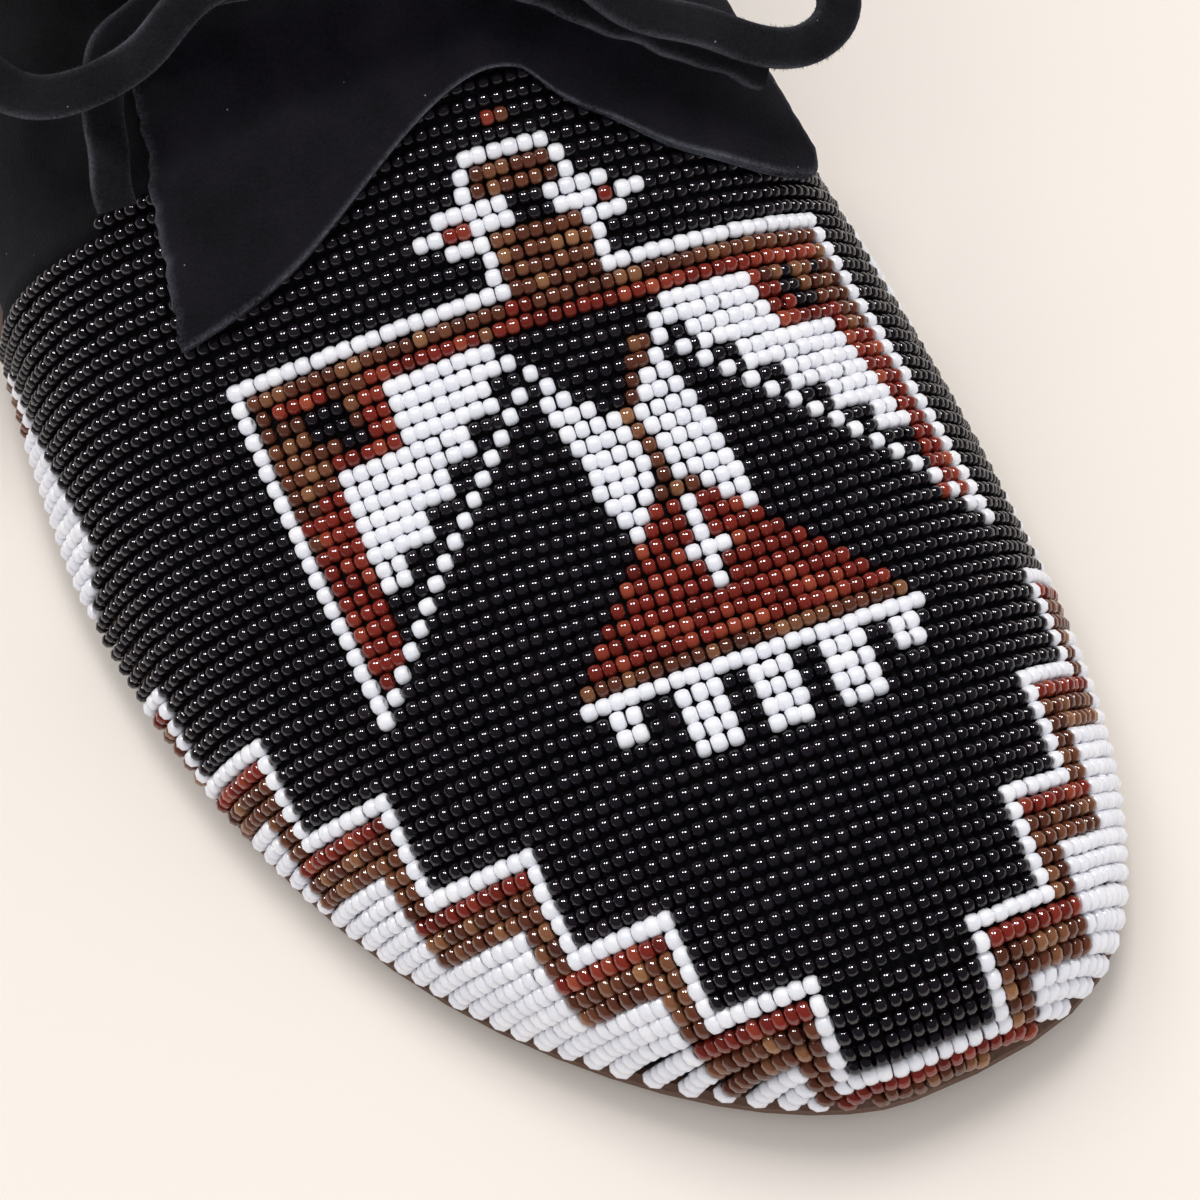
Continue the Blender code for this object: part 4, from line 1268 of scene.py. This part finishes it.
def make_ankle_band(cuff, steps=90):
    t = np.linspace(BAND_START, BAND_END, steps)
    s = along(t)
    a = np.arcsin(np.clip((collar(s) - ground(s) - SOLE_TOP) / HEIGHT(t), 0, 1)) / math.pi
    t = np.concatenate([t, t[::-1]])
    a = np.concatenate([a, 1 - a[::-1]])
    inner = skin(t, a, -BAND_SINK)
    inner[:, 2] -= BAND_SINK
    away = outward(t, a) * (1, 1, 0)
    away /= np.linalg.norm(away, axis=1, keepdims=True)
    surface = BVHTree.FromObject(cuff, bpy.context.evaluated_depsgraph_get())
    reach = []
    for root, aim in zip(placed(inner), placed(away) - placed((0, 0, 0))):
        place, _, _, far = surface.ray_cast(Vector(root), Vector(aim), BAND_WIDEST)
        reach.append(far if place is not None else BAND_SINK)
    outer = inner + away * (np.array(reach) + BAND_SINK)[:, None]
    below = np.array([0, 0, BAND_DEPTH])
    points = np.stack([inner - below, inner, outer, outer - below], 1).reshape(-1, 3)
    last = 4 * (2 * steps - 1)
    faces = [(0, 1, 2, 3), (last, last + 1, last + 2, last + 3)]
    for k in range(2 * steps - 1):
        for c in range(4):
            d = (c + 1) % 4
            faces.append((4 * k + c, 4 * k + d, 4 * k + 4 + d, 4 * k + 4 + c))
    return points, faces


add_piece("ankle_band", *make_ankle_band(cuff), CUFF_SUEDE, "cuff_suede")


# Seams
# Waxed black thread, in short even stitches through the suede: up both sides of the seam
# in the heel and round the edges of the cuff.
STITCH_PITCH = 0.0031
STITCH_SIZE = (0.0023, 0.0006, 0.0007)     # along, across and up from the leather
STITCH_SLANT = math.radians(9)
CUFF_HEM = 0.0032          # stitches from the cuff's edges
HEEL_STITCH_STATION = 0.9865
HEEL_STITCHES = (0.008, 0.118)     # from the sole up to the cuff, as shares of the way over
SEAM_POINTS = 60
CUFF_POINTS = 240
CUFF_WINDOW = 0.06         # how far round the cuff's height is looked for at each point


def stitches_along(line, normal):
    """Places, turns and sizes of stitches along a line on the leather."""
    run = run_along(line)
    count = int(run[-1] / STITCH_PITCH)
    found = []
    for k in range(count):
        spot = (k + 0.5) * run[-1] / count
        here = at_run(spot, run, line)
        ahead = at_run(spot + 0.0004, run, line) - here
        out = at_run(spot, run, normal)
        ahead /= np.linalg.norm(ahead)
        out -= ahead * (out @ ahead)
        out /= np.linalg.norm(out)
        turn = Matrix([ahead, np.cross(out, ahead), out]).transposed()
        slanted = turn @ Matrix.Rotation(STITCH_SLANT, 3, "Z")
        found.append((here, tuple(slanted.to_euler()), STITCH_SIZE, 0.5))
    return found


def seam_line(t, a):
    """A line on the quarters and its normals, from stations and shares over the foot."""
    return placed(skin(t, a, 0.0001)), placed(outward(t, a)) - placed((0, 0, 0))


def cuff_line(cuff, hem):
    """A line round the cuff's outside, hem below its top edge, or above its lower edge if negative."""
    graph = bpy.context.evaluated_depsgraph_get()
    surface = BVHTree.FromObject(cuff, graph)
    corners = np.array([tuple(v.co) for v in cuff.evaluated_get(graph).to_mesh().vertices])
    high = corners[:, 2] > corners[:, 2].max() - 0.01
    middle = (corners[high, :2].max(0) + corners[high, :2].min(0)) / 2
    bearing = np.arctan2(corners[:, 1] - middle[1], corners[:, 0] - middle[0])
    places = []
    normals = []
    for angle in np.linspace(-math.pi, math.pi, CUFF_POINTS + 1):
        near = np.abs((bearing - angle + math.pi) % (2 * math.pi) - math.pi) < CUFF_WINDOW
        level = corners[near, 2].max() - hem if hem > 0 else corners[near, 2].min() - hem
        aim = Vector((math.cos(angle), math.sin(angle), 0))
        place, normal, _, _ = surface.ray_cast(Vector((*middle, level)) + aim * 0.2, -aim)
        if place is not None:
            places.append(tuple(place))
            normals.append(tuple(normal))
    return np.array(places), np.array(normals)


THREAD_DARK = (0.012, 0.011, 0.013)
THREAD_LIGHT = (0.050, 0.047, 0.052)
THREAD, thread_tree, thread_shader = new_material("waxed_thread", 0.45)
thread_shader.inputs["Specular IOR Level"].default_value = 0.35
thread_place = thread_tree.nodes.new("ShaderNodeTexCoord").outputs["Object"]
thread_wax = noise_node(thread_tree, thread_place, 900.0, 3.0)
thread_color = color_mix(thread_tree, thread_wax, THREAD_DARK, THREAD_LIGHT)
thread_tree.links.new(thread_color, thread_shader.inputs["Base Color"])
stitch_shape = bpy.data.objects.new("stitch", bead_mesh(6, 0.08))
bpy.context.scene.collection.objects.link(stitch_shape)
heel_rise = np.linspace(*HEEL_STITCHES, SEAM_POINTS)
stitches = []
for heel_side in (heel_rise, 1 - heel_rise):
    stitches += stitches_along(*seam_line(np.full(SEAM_POINTS, HEEL_STITCH_STATION), heel_side))
sew_on("heel_stitches", stitches, stitch_shape, THREAD)
hems = stitches_along(*cuff_line(cuff, CUFF_HEM)) + stitches_along(*cuff_line(cuff, -CUFF_HEM))
sew_on("cuff_stitches", hems, stitch_shape, THREAD)
bpy.data.objects.remove(stitch_shape)


# Bow
# The thong's two ends, tied in a bow in front of the ankle: two loops and two cut ends of
# flat suede, limp and lying on the tongue and the beads.
THONG_WIDTH = 0.0046
THONG_THICKNESS = 0.0017
THONG_FACES = (0.25, -0.45, 0.86)      # where the flat of the thong looks
SPREAD_LENGTH = 0.18       # as a share of the thong's length
CUPPING = 0.18             # how far its edges turn down, as a share of its thickness
THONG_FIBRE_PITCH = 0.00007
LOOP_OUTER = (
    (-0.0109, 0.1252, 0.0668), (-0.0188, 0.1268, 0.0677), (-0.0274, 0.1292, 0.0652),
    (-0.0329, 0.1290, 0.0622), (-0.0376, 0.1278, 0.0590), (-0.0435, 0.1280, 0.0556),
    (-0.0497, 0.1304, 0.0516), (-0.0546, 0.1350, 0.0490), (-0.0581, 0.1407, 0.0502),
    (-0.0588, 0.1450, 0.0550), (-0.0558, 0.1464, 0.0628), (-0.0484, 0.1446, 0.0690),
    (-0.0369, 0.1396, 0.0728), (-0.0236, 0.1337, 0.0738), (-0.0109, 0.1292, 0.0702),
)
LOOP_INNER = (
    (0.0037, 0.1246, 0.0665), (0.0080, 0.1180, 0.0630), (0.0135, 0.1126, 0.0575),
    (0.0205, 0.1099, 0.0520), (0.0267, 0.1077, 0.0470), (0.0326, 0.1076, 0.0435),
    (0.0371, 0.1103, 0.0430), (0.0379, 0.1137, 0.0480), (0.0341, 0.1165, 0.0550),
    (0.0248, 0.1190, 0.0630), (0.0140, 0.1225, 0.0690), (0.0037, 0.1282, 0.0705),
)
END_OUTER = (
    (-0.0104, 0.1286, 0.0644), (-0.0202, 0.1296, 0.0623), (-0.0292, 0.1316, 0.0604),
    (-0.0363, 0.1334, 0.0572), (-0.0416, 0.1334, 0.0532), (-0.0447, 0.1295, 0.0490),
    (-0.0465, 0.1243, 0.0457), (-0.0473, 0.1193, 0.0424),
)
END_INNER = (
    (-0.0008, 0.1248, 0.0627), (0.0035, 0.1200, 0.0585), (0.0085, 0.1168, 0.0550),
    (0.0146, 0.1136, 0.0506), (0.0211, 0.1108, 0.0454), (0.0272, 0.1085, 0.0398),
)


def make_strip(route, bend, widen, steps=110, around=20):
    """A flat thong along a smooth curve, a soft ribbon that spreads where it bends back.

    bend is the share of the length where it spreads on its inside, and widen how much.
    """
    spots = np.array(route)
    run = run_along(spots)
    curves = [natural_spline(run, spots[:, k]) for k in range(3)]
    place = np.linspace(0, run[-1], steps + 1)
    line = np.stack([curve(place) for curve in curves], -1)
    ahead = np.gradient(line, axis=0)
    ahead /= np.linalg.norm(ahead, axis=1, keepdims=True)
    flat = np.array(THONG_FACES)
    up = flat - ahead * (ahead @ flat)[:, None]
    up /= np.linalg.norm(up, axis=1, keepdims=True)
    side = np.cross(ahead, up)
    points = []
    pale_lit_edge = []
    for k in range(steps + 1):
        share = k / steps
        spread = 1 + widen * math.exp(-((share - bend) / SPREAD_LENGTH) ** 2)
        inside = side[k] @ (line.mean(0) - line[k])
        wave = 0.00018 * math.sin(share * 23 + bend * 5) + 0.00012 * math.sin(share * 41)
        for c in range(around):
            angle = 2 * math.pi * c / around
            wide = math.copysign(abs(math.cos(angle)) ** 0.35, math.cos(angle)) * THONG_WIDTH / 2
            wide *= spread if wide * inside > 0 else 1.0
            thick = math.copysign(abs(math.sin(angle)) ** 0.5, math.sin(angle)) * THONG_THICKNESS / 2
            cupped = -CUPPING * THONG_THICKNESS * (2 * wide / THONG_WIDTH) ** 2
            points.append(line[k] + side[k] * (wide + wave) + up[k] * (thick + cupped))
            # the narrow sides are painted paler: pale cut fibres, and a painted highlight where the strip
            # rolls over
            pale_lit_edge.append(abs(math.cos(angle)) ** 3)
    faces = []
    for k in range(steps):
        for c in range(around):
            d = (c + 1) % around
            faces.append((k * around + c, k * around + d, (k + 1) * around + d, (k + 1) * around + c))
    faces.append(tuple(range(around)))
    faces.append(tuple(steps * around + c for c in range(around)))
    grid = np.array(points).reshape(steps + 1, around, 3)
    return points, faces, pale_lit_edge, line, (grid[:, 0], grid[:, around // 2])


# route, share of the length where the thong spreads, how much, and where it ends
BOW = {
    "loop_outer": (LOOP_OUTER, 0.56, 0.80, "object"),
    "loop_inner": (LOOP_INNER, 0.70, 1.05, "object"),
    "end_outer": (END_OUTER, 0.80, 0.10, "bare"),
    "end_inner": (END_INNER, 0.80, 0.10, "bare"),
}
for part, (route, bend, widen, far_end) in BOW.items():
    name = "bow_" + part
    points, faces, pale_lit_edge, line, edges = make_strip(route, bend, widen)
    strip = add_piece(name, points, faces, THONG_SUEDE, "thong_suede", 60.0, pale_lit_edge)
    for number, edge in enumerate(edges):
        fibres_along(f"{name}_fibres_{number + 1}", edge, edge - line, "thong_suede",
                                 THONG_FIBRE_PITCH, 0.00056, 20 + number)
    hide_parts("lace_" + part)
